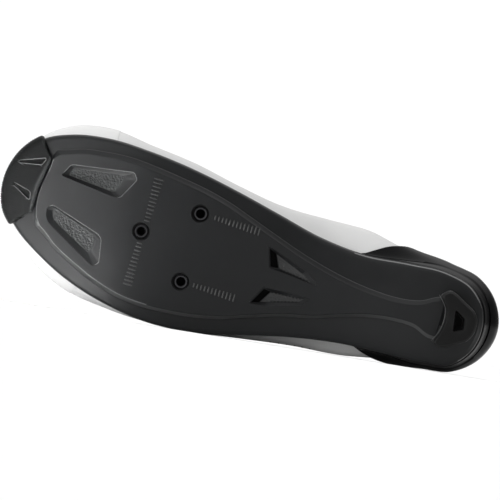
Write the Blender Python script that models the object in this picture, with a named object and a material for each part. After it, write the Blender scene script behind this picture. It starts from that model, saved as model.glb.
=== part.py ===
"""Road cycling shoe for the right foot, resting on its outer side.

The shoe is modelled as it is worn: X runs from the heel to the toe, Y towards the inner side of the
foot and Z up from the floor. At the end the whole shoe is laid on its outer side, with its sole
towards -Y, its toe towards -X and its inner side up. Lengths are in metres.
"""

import math

import bmesh
import bpy
import numpy as np
from mathutils import Matrix, Vector
from mathutils.bvhtree import BVHTree

# The shoe's main sizes.
LENGTH = 0.285
BALL_WIDTH = 0.0955
UPPER_HEIGHT = 0.090
ARCH_HEIGHT = 0.0155
CLEARANCE = 0.0003
SKIN_GAP = 0.0006

# The sole.
SOLE_THICKNESS = 0.0060
PLATE_STEP = 0.0032
PLATE_BEVEL = 0.0024
MARGIN_RISE = 0.0034
SHELL_THICKNESS = 0.0022
RIM_HEIGHT = 0.0062
RIM_THICKNESS = 0.0016
RIM_TURN = 0.0024
VENT_DEPTH = 0.0026
VENT_SLOPE = 0.0014
SLOT_DEPTH = 0.0034
SLOT_SLOPE = 0.0003
CORNER_ROUND = 0.0022

# The cleat's three bolts.
CLEAT_SETBACK = 0.0814
CLEAT_BASE = 0.0388
CLEAT_REACH = 0.0286
CLEAT_OFFSET = -0.0010
RECESS_RADIUS = 0.0047
RECESS_DEPTH = 0.0012
INSERT_RADIUS = 0.0036
INSERT_FLANGE = 0.0060
INSERT_FLANGE_THICKNESS = 0.0010
INSERT_BORE = 0.0021

# The rubber pieces.
GUARD_THICKNESS = 0.0020
GUARD_SIDE = 0.0015
GUARD_LAP = 0.0085
GUARD_LEAST_LAP = 0.0026
GROOVE_DEPTH = 0.0010
GROOVE_WIDTH = 0.0036
PAD_HEIGHT = 0.0096
PAD_SEAT = 0.0012
PAD_BEVEL = 0.0014

# The upper and what lies on or in it.
WALL = 0.0020
COLLAR_PADDING = 0.0016
CUP_THICKNESS = 0.0016
CUP_HEIGHT = 0.060
CUP_REACH_INNER = 0.0846
CUP_REACH_OUTER = 0.0724
TONGUE_THICKNESS = 0.0030
TONGUE_GAP = 0.0006
TONGUE_WIDTH = 0.046
TONGUE_LENGTH = 0.112
STRAP_THICKNESS = 0.0018
INSOLE_THICKNESS = 0.0034

# How finely the forms are divided.
STEPS_BETWEEN_ROWS = 3
LOWER_RINGS = 4
UPPER_RINGS = 8
CUP_RINGS = 11
FLOOR_COLUMNS = 4
TOE_CAP = 8
HEEL_CAP = 9

# Weights of the materials in kg/m3, for where the shoe comes to rest.
DENSITY = {"sole": 1100, "rubber": 1150, "upper": 700, "foam": 250, "metal": 2700, "shell": 1050}

# Plan of the sole. Each row is a station from heel to toe on both sides of the foot.
# x is a share of LENGTH, and the half-widths and overhangs are shares of BALL_WIDTH.
# The overhang is how far the upper's widest line stands outside the sole's edge.
PLAN_COLUMNS = ("x", "inner", "outer", "inner_overhang", "outer_overhang")
HEEL_TIP = {"x": 0.0302, "y": -0.005, "overhang": 0.060}
TOE_TIP = {"x": 0.9905, "y": 0.070, "overhang": -0.030}
PLAN = [
    (0.0415, 0.124, -0.154, 0.050, 0.040),
    (0.0710, 0.217, -0.249, 0.038, 0.022),
    (0.1250, 0.261, -0.281, 0.028, 0.022),
    (0.2000, 0.250, -0.293, 0.058, 0.042),
    (0.2850, 0.224, -0.309, 0.132, 0.075),
    (0.3750, 0.246, -0.352, 0.108, 0.057),
    (0.4700, 0.311, -0.418, 0.045, 0.030),
    (0.5600, 0.374, -0.477, 0.026, 0.008),
    (0.6500, 0.425, -0.496, 0.030, 0.005),
    (0.7400, 0.454, -0.463, 0.031, 0.028),
    (0.8200, 0.458, -0.399, 0.052, 0.056),
    (0.8900, 0.422, -0.304, 0.044, 0.052),
    (0.9450, 0.346, -0.200, 0.010, 0.012),
    (0.9770, 0.228, -0.100, -0.022, -0.020),
]

# Side view of the sole, from heel to toe. under is the plate's underside as a share of
# ARCH_HEIGHT, thick a share of SOLE_THICKNESS, step a share of PLATE_STEP, rise a share of
# MARGIN_RISE and widest the height of the upper's widest line as a share of UPPER_HEIGHT.
PROFILE_COLUMNS = ("x", "under", "thick", "step", "rise", "widest")
PROFILE = [
    (0.0000, 0.72, 0.72, 0.12, 0.60, 0.42),
    (0.0700, 0.62, 0.79, 0.20, 0.65, 0.42),
    (0.1250, 0.62, 0.94, 0.35, 0.80, 0.43),
    (0.2000, 0.73, 1.08, 0.75, 0.95, 0.45),
    (0.2850, 0.92, 1.08, 1.00, 1.05, 0.48),
    (0.3750, 1.00, 1.02, 1.00, 1.05, 0.49),
    (0.4700, 0.80, 0.95, 0.85, 0.95, 0.43),
    (0.5600, 0.38, 0.88, 0.65, 0.80, 0.32),
    (0.6300, 0.09, 0.84, 0.55, 0.72, 0.265),
    (0.6800, 0.00, 0.83, 0.50, 0.68, 0.250),
    (0.7350, 0.00, 0.83, 0.48, 0.68, 0.250),
    (0.8200, 0.28, 0.83, 0.42, 0.68, 0.265),
    (0.8900, 0.62, 0.83, 0.38, 0.66, 0.300),
    (0.9450, 0.94, 0.80, 0.32, 0.62, 0.335),
    (1.0000, 1.30, 0.72, 0.15, 0.60, 0.365),
]

# Edge of the collar and throat, one row for each row of the plan. x is a share of LENGTH, inner
# and outer are shares of BALL_WIDTH, the heights are shares of UPPER_HEIGHT and lean is the slope
# in degrees at which the wall arrives at the edge.
OPENING_COLUMNS = ("x", "inner", "outer", "inner_height", "outer_height", "lean")
HEEL_TOP = {"x": 0.0290, "y": -0.005, "height": 0.945, "lean": 80.0}
THROAT_END = {"x": 0.6760, "y": 0.040, "height": 0.650, "lean": 15.0}
OPENING = [
    (0.0370, 0.095, -0.112, 0.935, 0.930, 80.0),
    (0.0640, 0.172, -0.196, 0.890, 0.870, 80.0),
    (0.1180, 0.228, -0.256, 0.795, 0.755, 80.0),
    (0.1850, 0.248, -0.283, 0.735, 0.690, 80.0),
    (0.2550, 0.250, -0.290, 0.735, 0.695, 78.0),
    (0.3250, 0.222, -0.262, 0.800, 0.775, 72.0),
    (0.3900, 0.160, -0.212, 0.915, 0.895, 62.0),
    (0.4450, 0.128, -0.168, 0.900, 0.885, 50.0),
    (0.5050, 0.122, -0.132, 0.838, 0.830, 41.0),
    (0.5680, 0.120, -0.098, 0.765, 0.760, 33.0),
    (0.6200, 0.116, -0.066, 0.705, 0.702, 26.0),
    (0.6540, 0.098, -0.030, 0.668, 0.668, 20.0),
    (0.6710, 0.072, 0.006, 0.654, 0.654, 16.0),
    (0.6750, 0.056, 0.024, 0.650, 0.650, 15.0),
]

# Sides of the raised plate, from the heel pad to the toe guard. x is a share of LENGTH, and inner
# and outer are shares of BALL_WIDTH.
PLATE_COLUMNS = ("x", "inner", "outer")
PLATE = [
    (0.1053, 0.120, -0.126),
    (0.1263, 0.115, -0.131),
    (0.1579, 0.066, -0.097),
    (0.2000, 0.042, -0.095),
    (0.2456, 0.042, -0.115),
    (0.2947, 0.057, -0.156),
    (0.3509, 0.089, -0.215),
    (0.4105, 0.138, -0.255),
    (0.4702, 0.199, -0.313),
    (0.5193, 0.251, -0.362),
    (0.5684, 0.301, -0.394),
    (0.6211, 0.339, -0.412),
    (0.6737, 0.363, -0.418),
    (0.7228, 0.381, -0.405),
    (0.7719, 0.391, -0.366),
    (0.8246, 0.379, -0.301),
    (0.8702, 0.354, -0.232),
    (0.8900, 0.332, -0.189),
    (0.9130, 0.310, -0.145),
]

# Corners of the vents in the plate, as shares of LENGTH and BALL_WIDTH.
FRONT_VENTS = {
    "front_inner": [(0.889, 0.185), (0.879, 0.256), (0.757, 0.312), (0.750, 0.278), (0.776, 0.152)],
    "front_outer": [
        (0.899, -0.020),
        (0.892, 0.002),
        (0.792, -0.088),
        (0.777, -0.240),
        (0.785, -0.266),
        (0.894, -0.092),
    ],
}
REAR_VENTS = {
    "rear_inner": [(0.470, 0.122), (0.384, 0.032), (0.360, -0.002), (0.362, -0.028), (0.458, 0.004)],
    "rear_outer": [(0.458, -0.116), (0.364, -0.104), (0.376, -0.150), (0.474, -0.228)],
}

# Rear edge of the toe guard, from the inner side to the outer, as shares of LENGTH and BALL_WIDTH.
GUARD_REAR = [(0.9430, 0.330), (0.9190, 0.285), (0.9190, 0.240), (0.9270, 0.085), (0.9280, -0.092), (0.9570, -0.150)]
# The guard's two grooves, from the broad end to the tip.
GUARD_GROOVES = [
    ((0.9320, 0.226), (0.9760, 0.185)),
    ((0.9410, 0.016), (0.9750, 0.060)),
]

# Outline of the heel pad and of the hole in it, as shares of LENGTH and BALL_WIDTH.
PAD_OUTLINE = [
    (0.1275, 0.130),
    (0.1110, 0.173),
    (0.0980, 0.163),
    (0.0540, 0.094),
    (0.0440, 0.050),
    (0.0435, -0.032),
    (0.0530, -0.085),
    (0.0950, -0.157),
    (0.1080, -0.163),
    (0.1175, -0.140),
    (0.1080, -0.075),
    (0.1050, -0.005),
    (0.1090, 0.065),
]
PAD_HOLE = [(0.0900, 0.073), (0.0690, 0.038), (0.0670, -0.022), (0.0840, -0.047)]
PAD_HOLE_DEPTH = 0.0050

# Top edge of the heel cup. Each row gives the distance from the heel, as a share of the cup's
# reach on that side, and the height as a share of CUP_HEIGHT.
CUP_TOP = [(0.0, 1.00), (0.20, 0.985), (0.40, 0.90), (0.60, 0.765), (0.79, 0.60), (1.0, 0.42)]

# The two closing straps. x is where each crosses the throat and lean how much further forward
# its ends lie, as shares of LENGTH. The ends are slopes in degrees from upright on each side.
STRAP_COLUMNS = ("name", "x", "lean", "inner_end", "outer_end")
STRAPS = [
    ("strap_forefoot", 0.612, 0.035, 62.0, 66.0),
    ("strap_instep", 0.496, 0.030, 60.0, 60.0),
]
STRAP_WIDTH = 0.024
STRAP_AXIS = 0.028

UP = np.array([0.0, 0.0, 1.0])


def hermite(points, fractions, closed):
    """Points of a smooth curve through the given ones, at each fraction of each stretch."""
    points = np.asarray(points, float)
    if closed:
        around = np.vstack([points[-1:], points, points[:2]])
    else:
        around = np.vstack([2 * points[:1] - points[1:2], points, 2 * points[-1:] - points[-2:-1]])
    reach = np.linalg.norm(np.diff(around, axis=0), axis=1)[:, None]
    slope = np.diff(around, axis=0) / reach
    before, after = reach[:-1], reach[1:]
    tangent = (slope[:-1] * after + slope[1:] * before) / (before + after)
    start, end = around[1:-2], around[2:-1]
    span = reach[1:-1]
    begin, finish = tangent[:-1] * span, tangent[1:] * span
    made = []
    for t in fractions:
        made.append(
            (2 * t**3 - 3 * t**2 + 1) * start
            + (t**3 - 2 * t**2 + t) * begin
            + (3 * t**2 - 2 * t**3) * end
            + (t**3 - t**2) * finish
        )
    curve = np.stack(made, axis=1).reshape(-1, points.shape[1])
    return curve if closed else np.vstack([curve, points[-1:]])


def smooth_value(at, known_at, values):
    """Value at a place of the smooth curve through values known at rising places."""
    known_at = np.asarray(known_at, float)
    values = np.asarray(values, float)
    gaps = np.diff(known_at)
    slopes = np.diff(values) / gaps
    inner = (slopes[:-1] * gaps[1:] + slopes[1:] * gaps[:-1]) / (gaps[:-1] + gaps[1:])
    tangents = np.concatenate([slopes[:1], inner, slopes[-1:]])
    at = np.clip(at, known_at[0], known_at[-1])
    i = np.clip(np.searchsorted(known_at, at, side="right") - 1, 0, len(gaps) - 1)
    t = (at - known_at[i]) / gaps[i]
    return (
        (2 * t**3 - 3 * t**2 + 1) * values[i]
        + (t**3 - 2 * t**2 + t) * gaps[i] * tangents[i]
        + (3 * t**2 - 2 * t**3) * values[i + 1]
        + (t**3 - t**2) * gaps[i] * tangents[i + 1]
    )


def profile(name, x):
    """A column of the side view at a distance from the heel, as a share of its own size."""
    column = PROFILE_COLUMNS.index(name)
    return smooth_value(x / LENGTH, [row[0] for row in PROFILE], [row[column] for row in PROFILE])


def under_height(x):
    """Height of the plate's underside."""
    return ARCH_HEIGHT * profile("under", x)


def bed_height(x):
    """Height of the sole's upper face along its middle."""
    return under_height(x) + SOLE_THICKNESS * profile("thick", x)


def margin_height(x, out=0.0):
    """Height of the sole's underside beside the plate. out is 0 in the middle and 1 at the edge."""
    return under_height(x) + PLATE_STEP * profile("step", x) + MARGIN_RISE * profile("rise", x) * out**2


def rim_height(x):
    """Height of the top of the sole's rim."""
    return margin_height(x, 1.0) + RIM_HEIGHT


def station_rows(inner, outer, heel, toe):
    """Closed row of points: the toe tip, the inner side to the heel, and the outer side back."""
    return [toe, *inner[::-1], heel, *outer]


def station_columns(columns, name_inner, name_outer, heel, toe):
    """One column of a two-sided table as a closed row, in the order of station_rows."""
    table, names = columns
    inner = [row[names.index(name_inner)] for row in table]
    outer = [row[names.index(name_outer)] for row in table]
    return station_rows(inner, outer, heel, toe)


def fractions():
    """The places between two rows at which a curve is divided."""
    return np.arange(STEPS_BETWEEN_ROWS) / STEPS_BETWEEN_ROWS


def sole_outline():
    """The sole's outline seen from below, as closed points in plan."""
    plan = (PLAN, PLAN_COLUMNS)
    x = station_columns(plan, "x", "x", HEEL_TIP["x"], TOE_TIP["x"])
    y = station_columns(plan, "inner", "outer", HEEL_TIP["y"], TOE_TIP["y"])
    points = np.column_stack([np.array(x) * LENGTH, np.array(y) * BALL_WIDTH])
    return hermite(points, fractions(), closed=True)


def outward(outline):
    """Unit vectors that point out of a closed outline in plan."""
    along = np.roll(outline, -1, axis=0) - np.roll(outline, 1, axis=0)
    normal = np.column_stack([along[:, 1], -along[:, 0]])
    normal /= np.linalg.norm(normal, axis=1)[:, None]
    middle = outline.mean(axis=0)
    facing = np.sum(normal * (outline - middle), axis=1).sum()
    return normal if facing > 0 else -normal


def inset(outline, distance):
    """The outline moved inwards, by one distance or by one for each point."""
    return outline - outward(outline) * np.reshape(distance, (-1, 1))


def raised(outline, heights):
    """Plan points given a height each."""
    return np.column_stack([outline, np.broadcast_to(heights, len(outline))])


def widest_line():
    """The upper's widest line, in space."""
    outline = sole_outline()
    plan = (PLAN, PLAN_COLUMNS)
    overhang = station_columns(
        plan, "inner_overhang", "outer_overhang", HEEL_TIP["overhang"], TOE_TIP["overhang"]
    )
    rows = np.column_stack([np.arange(len(overhang)), np.array(overhang)])
    places = np.arange(len(outline)) / STEPS_BETWEEN_ROWS
    closed_rows = np.vstack([rows, [len(rows), overhang[0]]])
    reach = smooth_value(places, closed_rows[:, 0], closed_rows[:, 1]) * BALL_WIDTH
    line = inset(outline, -reach)
    return raised(line, profile("widest", line[:, 0]) * UPPER_HEIGHT)


def foot_line():
    """The upper's lower edge, which stands on the sole inside its rim."""
    outline = sole_outline()
    heights = margin_height(outline[:, 0], 1.0) + SHELL_THICKNESS + CLEARANCE
    return raised(inset(outline, RIM_THICKNESS + CLEARANCE), heights)


def edge_line():
    """The edge of the collar and throat in space, and the slope at which the wall meets it."""
    opening = (OPENING, OPENING_COLUMNS)
    x = station_columns(opening, "x", "x", HEEL_TOP["x"], THROAT_END["x"])
    y = station_columns(opening, "inner", "outer", HEEL_TOP["y"], THROAT_END["y"])
    z = station_columns(opening, "inner_height", "outer_height", HEEL_TOP["height"], THROAT_END["height"])
    lean = station_columns(opening, "lean", "lean", HEEL_TOP["lean"], THROAT_END["lean"])
    points = np.column_stack(
        [np.array(x) * LENGTH, np.array(y) * BALL_WIDTH, np.array(z) * UPPER_HEIGHT]
    )
    line = hermite(points, fractions(), closed=True)
    places = np.arange(len(line)) / STEPS_BETWEEN_ROWS
    slopes = smooth_value(places, np.arange(len(lean) + 1), [*lean, lean[0]])
    return line, np.radians(slopes)


def bezier(start, start_handle, end_handle, end, t):
    """Point of a cubic curve, for arrays of points and one value of t."""
    return (
        (1 - t) ** 3 * start
        + 3 * (1 - t) ** 2 * t * start_handle
        + 3 * (1 - t) * t**2 * end_handle
        + t**3 * end
    )


def arrival(widest, edge, slopes):
    """Unit vectors along which the upper's wall arrives at the edge of its opening."""
    level = edge - widest
    level[:, 2] = 0.0
    level /= np.linalg.norm(level, axis=1)[:, None]
    return level * np.cos(slopes)[:, None] + UP * np.sin(slopes)[:, None]


def upper_surface():
    """The upper's outer surface as rings from the sole to the opening: ring, station, xyz."""
    foot, widest = foot_line(), widest_line()
    edge, slopes = edge_line()
    direction = arrival(widest, edge, slopes)
    rim = foot.copy()
    rim[:, 2] = rim_height(sole_outline()[:, 0]) + CLEARANCE
    reach = (widest[:, 2] - rim[:, 2])[:, None]
    rings = [foot]
    for t in np.arange(LOWER_RINGS) / LOWER_RINGS:
        rings.append(bezier(rim, rim + UP * 0.35 * reach, widest - UP * 0.35 * reach, widest, t))
    span = np.linalg.norm(edge - widest, axis=1)[:, None]
    steep = np.sin(slopes)[:, None]
    above_widest = widest + UP * span * (0.12 + 0.24 * steep)
    before_edge = edge - direction * span * (0.44 - 0.10 * steep)
    for t in np.arange(UPPER_RINGS + 1) / UPPER_RINGS:
        rings.append(bezier(widest, above_widest, before_edge, edge, t))
    return np.array(rings)


def grid_normals(grid):
    """Outward unit normals of a ring-by-station surface that is closed along its stations."""
    around = np.roll(grid, -1, axis=1) - np.roll(grid, 1, axis=1)
    upward = np.empty_like(grid)
    upward[1:-1] = grid[2:] - grid[:-2]
    upward[0] = grid[1] - grid[0]
    upward[-1] = grid[-1] - grid[-2]
    normals = np.cross(around, upward)
    normals /= np.linalg.norm(normals, axis=2)[:, :, None]
    middle = grid.reshape(-1, 3).mean(axis=0)
    facing = np.sum(normals * (grid - middle), axis=2).sum()
    return normals if facing > 0 else -normals


def station_place(row, inner):
    """Index of a station, with a fraction, for a row of the tables on one side."""
    rows = len(PLAN) + 1
    place = rows - row if inner else rows + row
    return place * STEPS_BETWEEN_ROWS % (2 * rows * STEPS_BETWEEN_ROWS)


def at_station(grid, place):
    """One column of a ring-by-station surface at a station with a fraction."""
    count = grid.shape[1]
    low = int(math.floor(place)) % count
    part = place - math.floor(place)
    return grid[:, low] * (1 - part) + grid[:, (low + 1) % count] * part


# Meshes and objects.


def new_object(name, mesh, material, parent):
    """Links a mesh to the scene as a named object of one material."""
    item = bpy.data.objects.new(name, mesh)
    bpy.context.scene.collection.objects.link(item)
    if material is not None:
        mesh.materials.append(material)
    item.parent = parent
    return item


def mesh_from(name, points, faces):
    """A mesh with its faces pointing out and smooth shading."""
    work = bmesh.new()
    made = [work.verts.new(tuple(float(c) for c in p)) for p in points]
    for face in faces:
        work.faces.new([made[i] for i in face])
    bmesh.ops.recalc_face_normals(work, faces=work.faces)
    mesh = bpy.data.meshes.new(name)
    work.to_mesh(mesh)
    work.free()
    mesh.shade_smooth()
    mesh.set_sharp_from_angle(angle=math.radians(35))
    return mesh


def ring_faces(first, second):
    """Quads between two closed loops of vertex numbers."""
    count = len(first)
    return [
        (first[i], first[(i + 1) % count], second[(i + 1) % count], second[i]) for i in range(count)
    ]


def numbers(start, count):
    """Vertex numbers of a loop that starts at start."""
    return list(range(start, start + count))


def loops_to_mesh(name, loops, start_fill, end_fill):
    """A closed solid through loops of the same count, with each end filled by its function."""
    points, faces = [], []
    lists = []
    for loop in loops:
        lists.append(numbers(len(points), len(loop)))
        points.extend(loop)
    for first, second in zip(lists[:-1], lists[1:]):
        faces.extend(ring_faces(first, second))
    for loop, fill in ((lists[0], start_fill), (lists[-1], end_fill)):
        more_points, more_faces = fill(loop, [points[i] for i in loop], len(points))
        points.extend(more_points)
        faces.extend(more_faces)
    return mesh_from(name, points, faces)


def cross_fill(height, first_cap=0, second_cap=0):
    """A fill that joins the two sides of a loop by rows, at heights that a function gives.

    Each end of the loop can be closed by one face that spans this many stations on either side.
    """

    def fill(loop, places, start):
        half = len(loop) // 2
        points, faces, rows = [], [], []
        for i in range(max(first_cap, 1), half - max(second_cap - 1, 0)):
            across = np.linspace(places[i], places[-i], FLOOR_COLUMNS + 1)[1:-1]
            across[:, 2] = height(across[:, :2])
            made = numbers(start + len(points), len(across))
            points.extend(across)
            rows.append([loop[i], *made, loop[-i]])
        for first, second in zip(rows[:-1], rows[1:]):
            for c in range(FLOOR_COLUMNS):
                faces.append((first[c], first[c + 1], second[c + 1], second[c]))
        toe = [loop[k] for k in range(1 - max(first_cap, 1), max(first_cap, 1))]
        heel_reach = max(second_cap, 1)
        heel = [loop[k] for k in range(half - heel_reach + 1, half + heel_reach)]
        faces.append((*toe, *rows[0]))
        faces.append((*heel, *rows[-1][::-1]))
        return points, faces

    return fill


def apply_boolean(target, cutter, operation):
    """Leaves a live Boolean on the target, whose cutter isn't part of the shoe."""
    change = target.modifiers.new(cutter.name, "BOOLEAN")
    change.operation = operation
    change.solver = "EXACT"
    change.object = cutter
    cutter.hide_render = True
    cutter.display_type = "WIRE"


def rounded(corners, radius, steps=3):
    """A closed polygon in plan with each corner rounded by a short arc of points."""
    corners = np.asarray(corners, float)
    made = []
    for before, corner, after in zip(np.roll(corners, 1, 0), corners, np.roll(corners, -1, 0)):
        back, ahead = before - corner, after - corner
        reach = min(radius, 0.45 * np.linalg.norm(back), 0.45 * np.linalg.norm(ahead))
        start = corner + back / np.linalg.norm(back) * reach
        end = corner + ahead / np.linalg.norm(ahead) * reach
        for t in np.arange(steps + 1) / steps:
            made.append((1 - t) ** 2 * start + 2 * (1 - t) * t * corner + t**2 * end)
    return np.array(made)


def in_metres(shares):
    """Plan points given as shares of the length and the ball width."""
    return np.array([(p[0] * LENGTH, p[1] * BALL_WIDTH) for p in shares])


def offset_corners(corners, distance):
    """The corners of a polygon in plan moved so that each side shifts inwards by a distance."""
    corners = np.asarray(corners, float)
    sides = np.roll(corners, -1, axis=0) - corners
    area = np.sum(corners[:, 0] * sides[:, 1] - corners[:, 1] * sides[:, 0])
    facing = 1.0 if area > 0 else -1.0
    made = []
    for i, corner in enumerate(corners):
        before, after = unit(sides[i - 1]), unit(sides[i])
        left = facing * np.array([-before[1], before[0]])
        other = facing * np.array([-after[1], after[0]])
        made.append(corner + (left + other) * distance / (1 + np.dot(left, other)))
    return np.array(made)


def prism(name, outline, low, high, parent):
    """A closed prism from one height to another, each a function of the place along the shoe."""
    x = outline[:, 0]
    return stacked(name, [raised(outline, low(x)), raised(outline, high(x))], parent, None)


def make_material(name, colour, roughness, metallic=0.0):
    """A plain Principled BSDF material."""
    material = bpy.data.materials.new(name)
    material.use_nodes = True
    shader = material.node_tree.nodes["Principled BSDF"]
    shader.inputs["Base Color"].default_value = (*colour, 1.0)
    shader.inputs["Roughness"].default_value = roughness
    shader.inputs["Metallic"].default_value = metallic
    return material


# Sub-parts of the sole.


def cleat_bolts():
    """Places of the three cleat bolts in plan: the front one, the inner one and the outer one."""
    rear = LENGTH - CLEAT_SETBACK - CLEAT_REACH
    return {
        "front": (LENGTH - CLEAT_SETBACK, CLEAT_OFFSET + 0.0012),
        "inner": (rear, CLEAT_OFFSET + CLEAT_BASE / 2),
        "outer": (rear, CLEAT_OFFSET - CLEAT_BASE / 2),
    }


def plate_loop(drawn_in):
    """The raised plate's outline in plan, drawn in by a distance, with a point for each station."""
    outline = sole_outline()
    count = len(outline)
    known_at, inner, outer = (np.array(c) for c in zip(*PLATE))
    rear, front = known_at[0] * LENGTH + drawn_in, known_at[-1] * LENGTH - drawn_in

    def side_point(x, column, away):
        x = float(np.clip(x, rear, front))
        return np.array([x, smooth_value(x / LENGTH, known_at, column) * BALL_WIDTH - away * drawn_in])

    points = outline.copy()
    for i in range(count):
        on_inner = i <= count // 2
        points[i] = side_point(outline[i, 0], inner if on_inner else outer, 1 if on_inner else -1)
    for middle, reach, end, inner_way in ((0, TOE_CAP, front, 1), (count // 2, HEEL_CAP, rear, -1)):
        corners = side_point(end, inner, 1), side_point(end, outer, -1)
        for k in range(-reach, reach + 1):
            share = 0.5 - 0.5 * k * inner_way / reach
            points[(middle + k) % count] = corners[0] + (corners[1] - corners[0]) * share
    return points


def base_loops():
    """Loops of the sole from the raised plate round the rim to the bed."""
    outline = sole_outline()
    x = outline[:, 0]
    edge = margin_height(x, 1.0)
    under = inset(outline, RIM_TURN)
    foot = plate_loop(0.0)
    face = plate_loop(PLATE_BEVEL)
    margin = (foot + under) / 2
    bed_edge = inset(outline, RIM_THICKNESS)
    bed_inner = centred(bed_edge, 0.80)
    return {
        "face": raised(face, under_height(face[:, 0])),
        "foot": raised(foot, margin_over(foot)),
        "margin": raised(margin, margin_over(margin)),
        "under": raised(under, margin_height(under[:, 0], 1.0)),
        "side": raised(inset(outline, 0.25 * RIM_TURN), edge + 0.28 * RIM_HEIGHT),
        "widest": raised(outline, edge + 0.62 * RIM_HEIGHT),
        "rim": raised(outline, rim_height(x)),
        "rim_inside": raised(bed_edge, rim_height(x)),
        "bed_edge": raised(bed_edge, edge + SHELL_THICKNESS),
        "bed_inner": raised(bed_inner, bed_under(bed_inner)),
    }


def centred(outline, share):
    """The outline drawn in towards its own middle line, and a little from each end."""
    half = len(outline) // 2
    partner = np.array([outline[-i % len(outline)] for i in range(len(outline))])
    middle = (outline + partner) / 2
    drawn = middle + (outline - middle) * share
    end_pull = (1 - share) * 0.18 * LENGTH
    span = outline[0, 0] - outline[half, 0]
    centre = (outline[0, 0] + outline[half, 0]) / 2
    drawn[:, 0] = centre + (drawn[:, 0] - centre) * (1 - 2 * end_pull / span)
    return drawn


def bed_under(points):
    """Height of the sole's upper face at plan points."""
    return bed_surface(points[:, 0], side_share(points))


def margin_over(points):
    """Height of the sole's underside, without its plate, at plan points."""
    return margin_height(points[:, 0], side_share(points))


def bed_surface(x, out):
    """Height of the sole's upper face. out is 0 in the middle and 1 at the rim."""
    edge = margin_height(x, 1.0) + SHELL_THICKNESS
    return bed_height(x) + (edge - bed_height(x)) * out**3


def make_sole(parent, material):
    """The moulded sole: a thin dish with a rim, a raised plate, vents, bolt holes and seats."""

    plate_fill = cross_fill(lambda points: under_height(points[:, 0]), TOE_CAP + 1, HEEL_CAP + 1)
    mesh = loops_to_mesh("sole", list(base_loops().values()), plate_fill, cross_fill(bed_under))
    sole = new_object("sole", mesh, material, parent)
    for name, corners in FRONT_VENTS.items():
        cutter = vent_cutter(name, corners, VENT_DEPTH, VENT_SLOPE, 0.9, parent)
        apply_boolean(sole, cutter, "DIFFERENCE")
    for name, corners in REAR_VENTS.items():
        cutter = vent_cutter(name, corners, SLOT_DEPTH, SLOT_SLOPE, 0.1, parent)
        apply_boolean(sole, cutter, "DIFFERENCE")
    for name, place in cleat_bolts().items():
        apply_boolean(sole, bolt_cutter(name, place, parent), "DIFFERENCE")
    seat = rounded(offset_corners(in_metres(PAD_OUTLINE), -CLEARANCE), CORNER_ROUND)
    pocket = prism(
        "pad_seat",
        seat,
        lambda x: np.full(len(x), -ARCH_HEIGHT),
        lambda x: pad_top(x) + CLEARANCE,
        parent,
    )
    apply_boolean(sole, pocket, "DIFFERENCE")
    return sole


def side_share(points):
    """How far each plan point is from the sole's middle line: 0 there and 1 at the edge."""
    outline = sole_outline()
    half = len(outline) // 2
    inner = outline[: half + 1][::-1]
    outer = np.vstack([outline[half:], outline[:1]])
    high = np.interp(points[:, 0], inner[:, 0], inner[:, 1])
    low = np.interp(points[:, 0], outer[:, 0], outer[:, 1])
    return np.clip(np.abs(2 * (points[:, 1] - low) / (high - low) - 1), 0, 1)


def vent_cutter(name, corners, depth, slope, shallow, parent):
    """Cuts a vent's pocket. Its floor rises from the full depth in front to a share of it behind."""
    mouth = rounded(in_metres(corners), 0.6 * CORNER_ROUND)
    low, high = mouth[:, 0].min(), mouth[:, 0].max()
    middle = mouth.mean(axis=0)
    reach = np.linalg.norm(mouth - middle, axis=1)[:, None]
    floor = middle + (mouth - middle) * (1 - slope / reach)
    share = shallow + (1 - shallow) * (floor[:, 0] - low) / (high - low)
    loops = [
        raised(mouth, under_height(mouth[:, 0]) - depth),
        raised(mouth, under_height(mouth[:, 0])),
        raised(floor, under_height(floor[:, 0]) + depth * share),
    ]
    return stacked(f"vent_{name}", loops, parent, None)


def stacked(name, loops, parent, material):
    """A closed solid through loops of the same count, with a flat face on each end."""
    count = len(loops[0])
    points = [p for loop in loops for p in loop]
    faces = []
    for k in range(len(loops) - 1):
        faces.extend(ring_faces(numbers(k * count, count), numbers((k + 1) * count, count)))
    faces.append(tuple(numbers(0, count)))
    faces.append(tuple(numbers((len(loops) - 1) * count, count)))
    return new_object(name, mesh_from(name, points, faces), material, parent)


def turned(name, place, profile_points, parent, material=None, segments=18):
    """A solid turned round an upright axis from a closed profile of radius and height."""
    points, faces = [], []
    count = len(profile_points)
    for i in range(segments):
        angle = 2 * math.pi * i / segments
        for radius, height in profile_points:
            points.append(
                (place[0] + radius * math.cos(angle), place[1] + radius * math.sin(angle), height)
            )
    for i in range(segments):
        near, far = i * count, (i + 1) % segments * count
        for k in range(count):
            after = (k + 1) % count
            faces.append((near + k, near + after, far + after, far + k))
    return new_object(name, mesh_from(name, points, faces), material, parent)


def disc(name, place, levels, parent, segments=18):
    """A solid turned round an upright axis from radii at rising heights."""
    angles = 2 * np.pi * np.arange(segments) / segments
    around = np.column_stack([np.cos(angles), np.sin(angles)])
    loops = [raised(np.array(place) + around * radius, height) for radius, height in levels]
    return stacked(name, loops, parent, None)


def bolt_levels(place):
    """Heights of the sole's underside and of its bed where they are lowest round a cleat bolt."""
    away = math.copysign(INSERT_FLANGE, place[1])
    farthest = np.array([[place[0] - INSERT_FLANGE, place[1] + away], [place[0] + INSERT_FLANGE, place[1] + away]])
    bed = bed_surface(farthest[:, 0], side_share(farthest)).min()
    return float(under_height(place[0])), float(bed)


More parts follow.
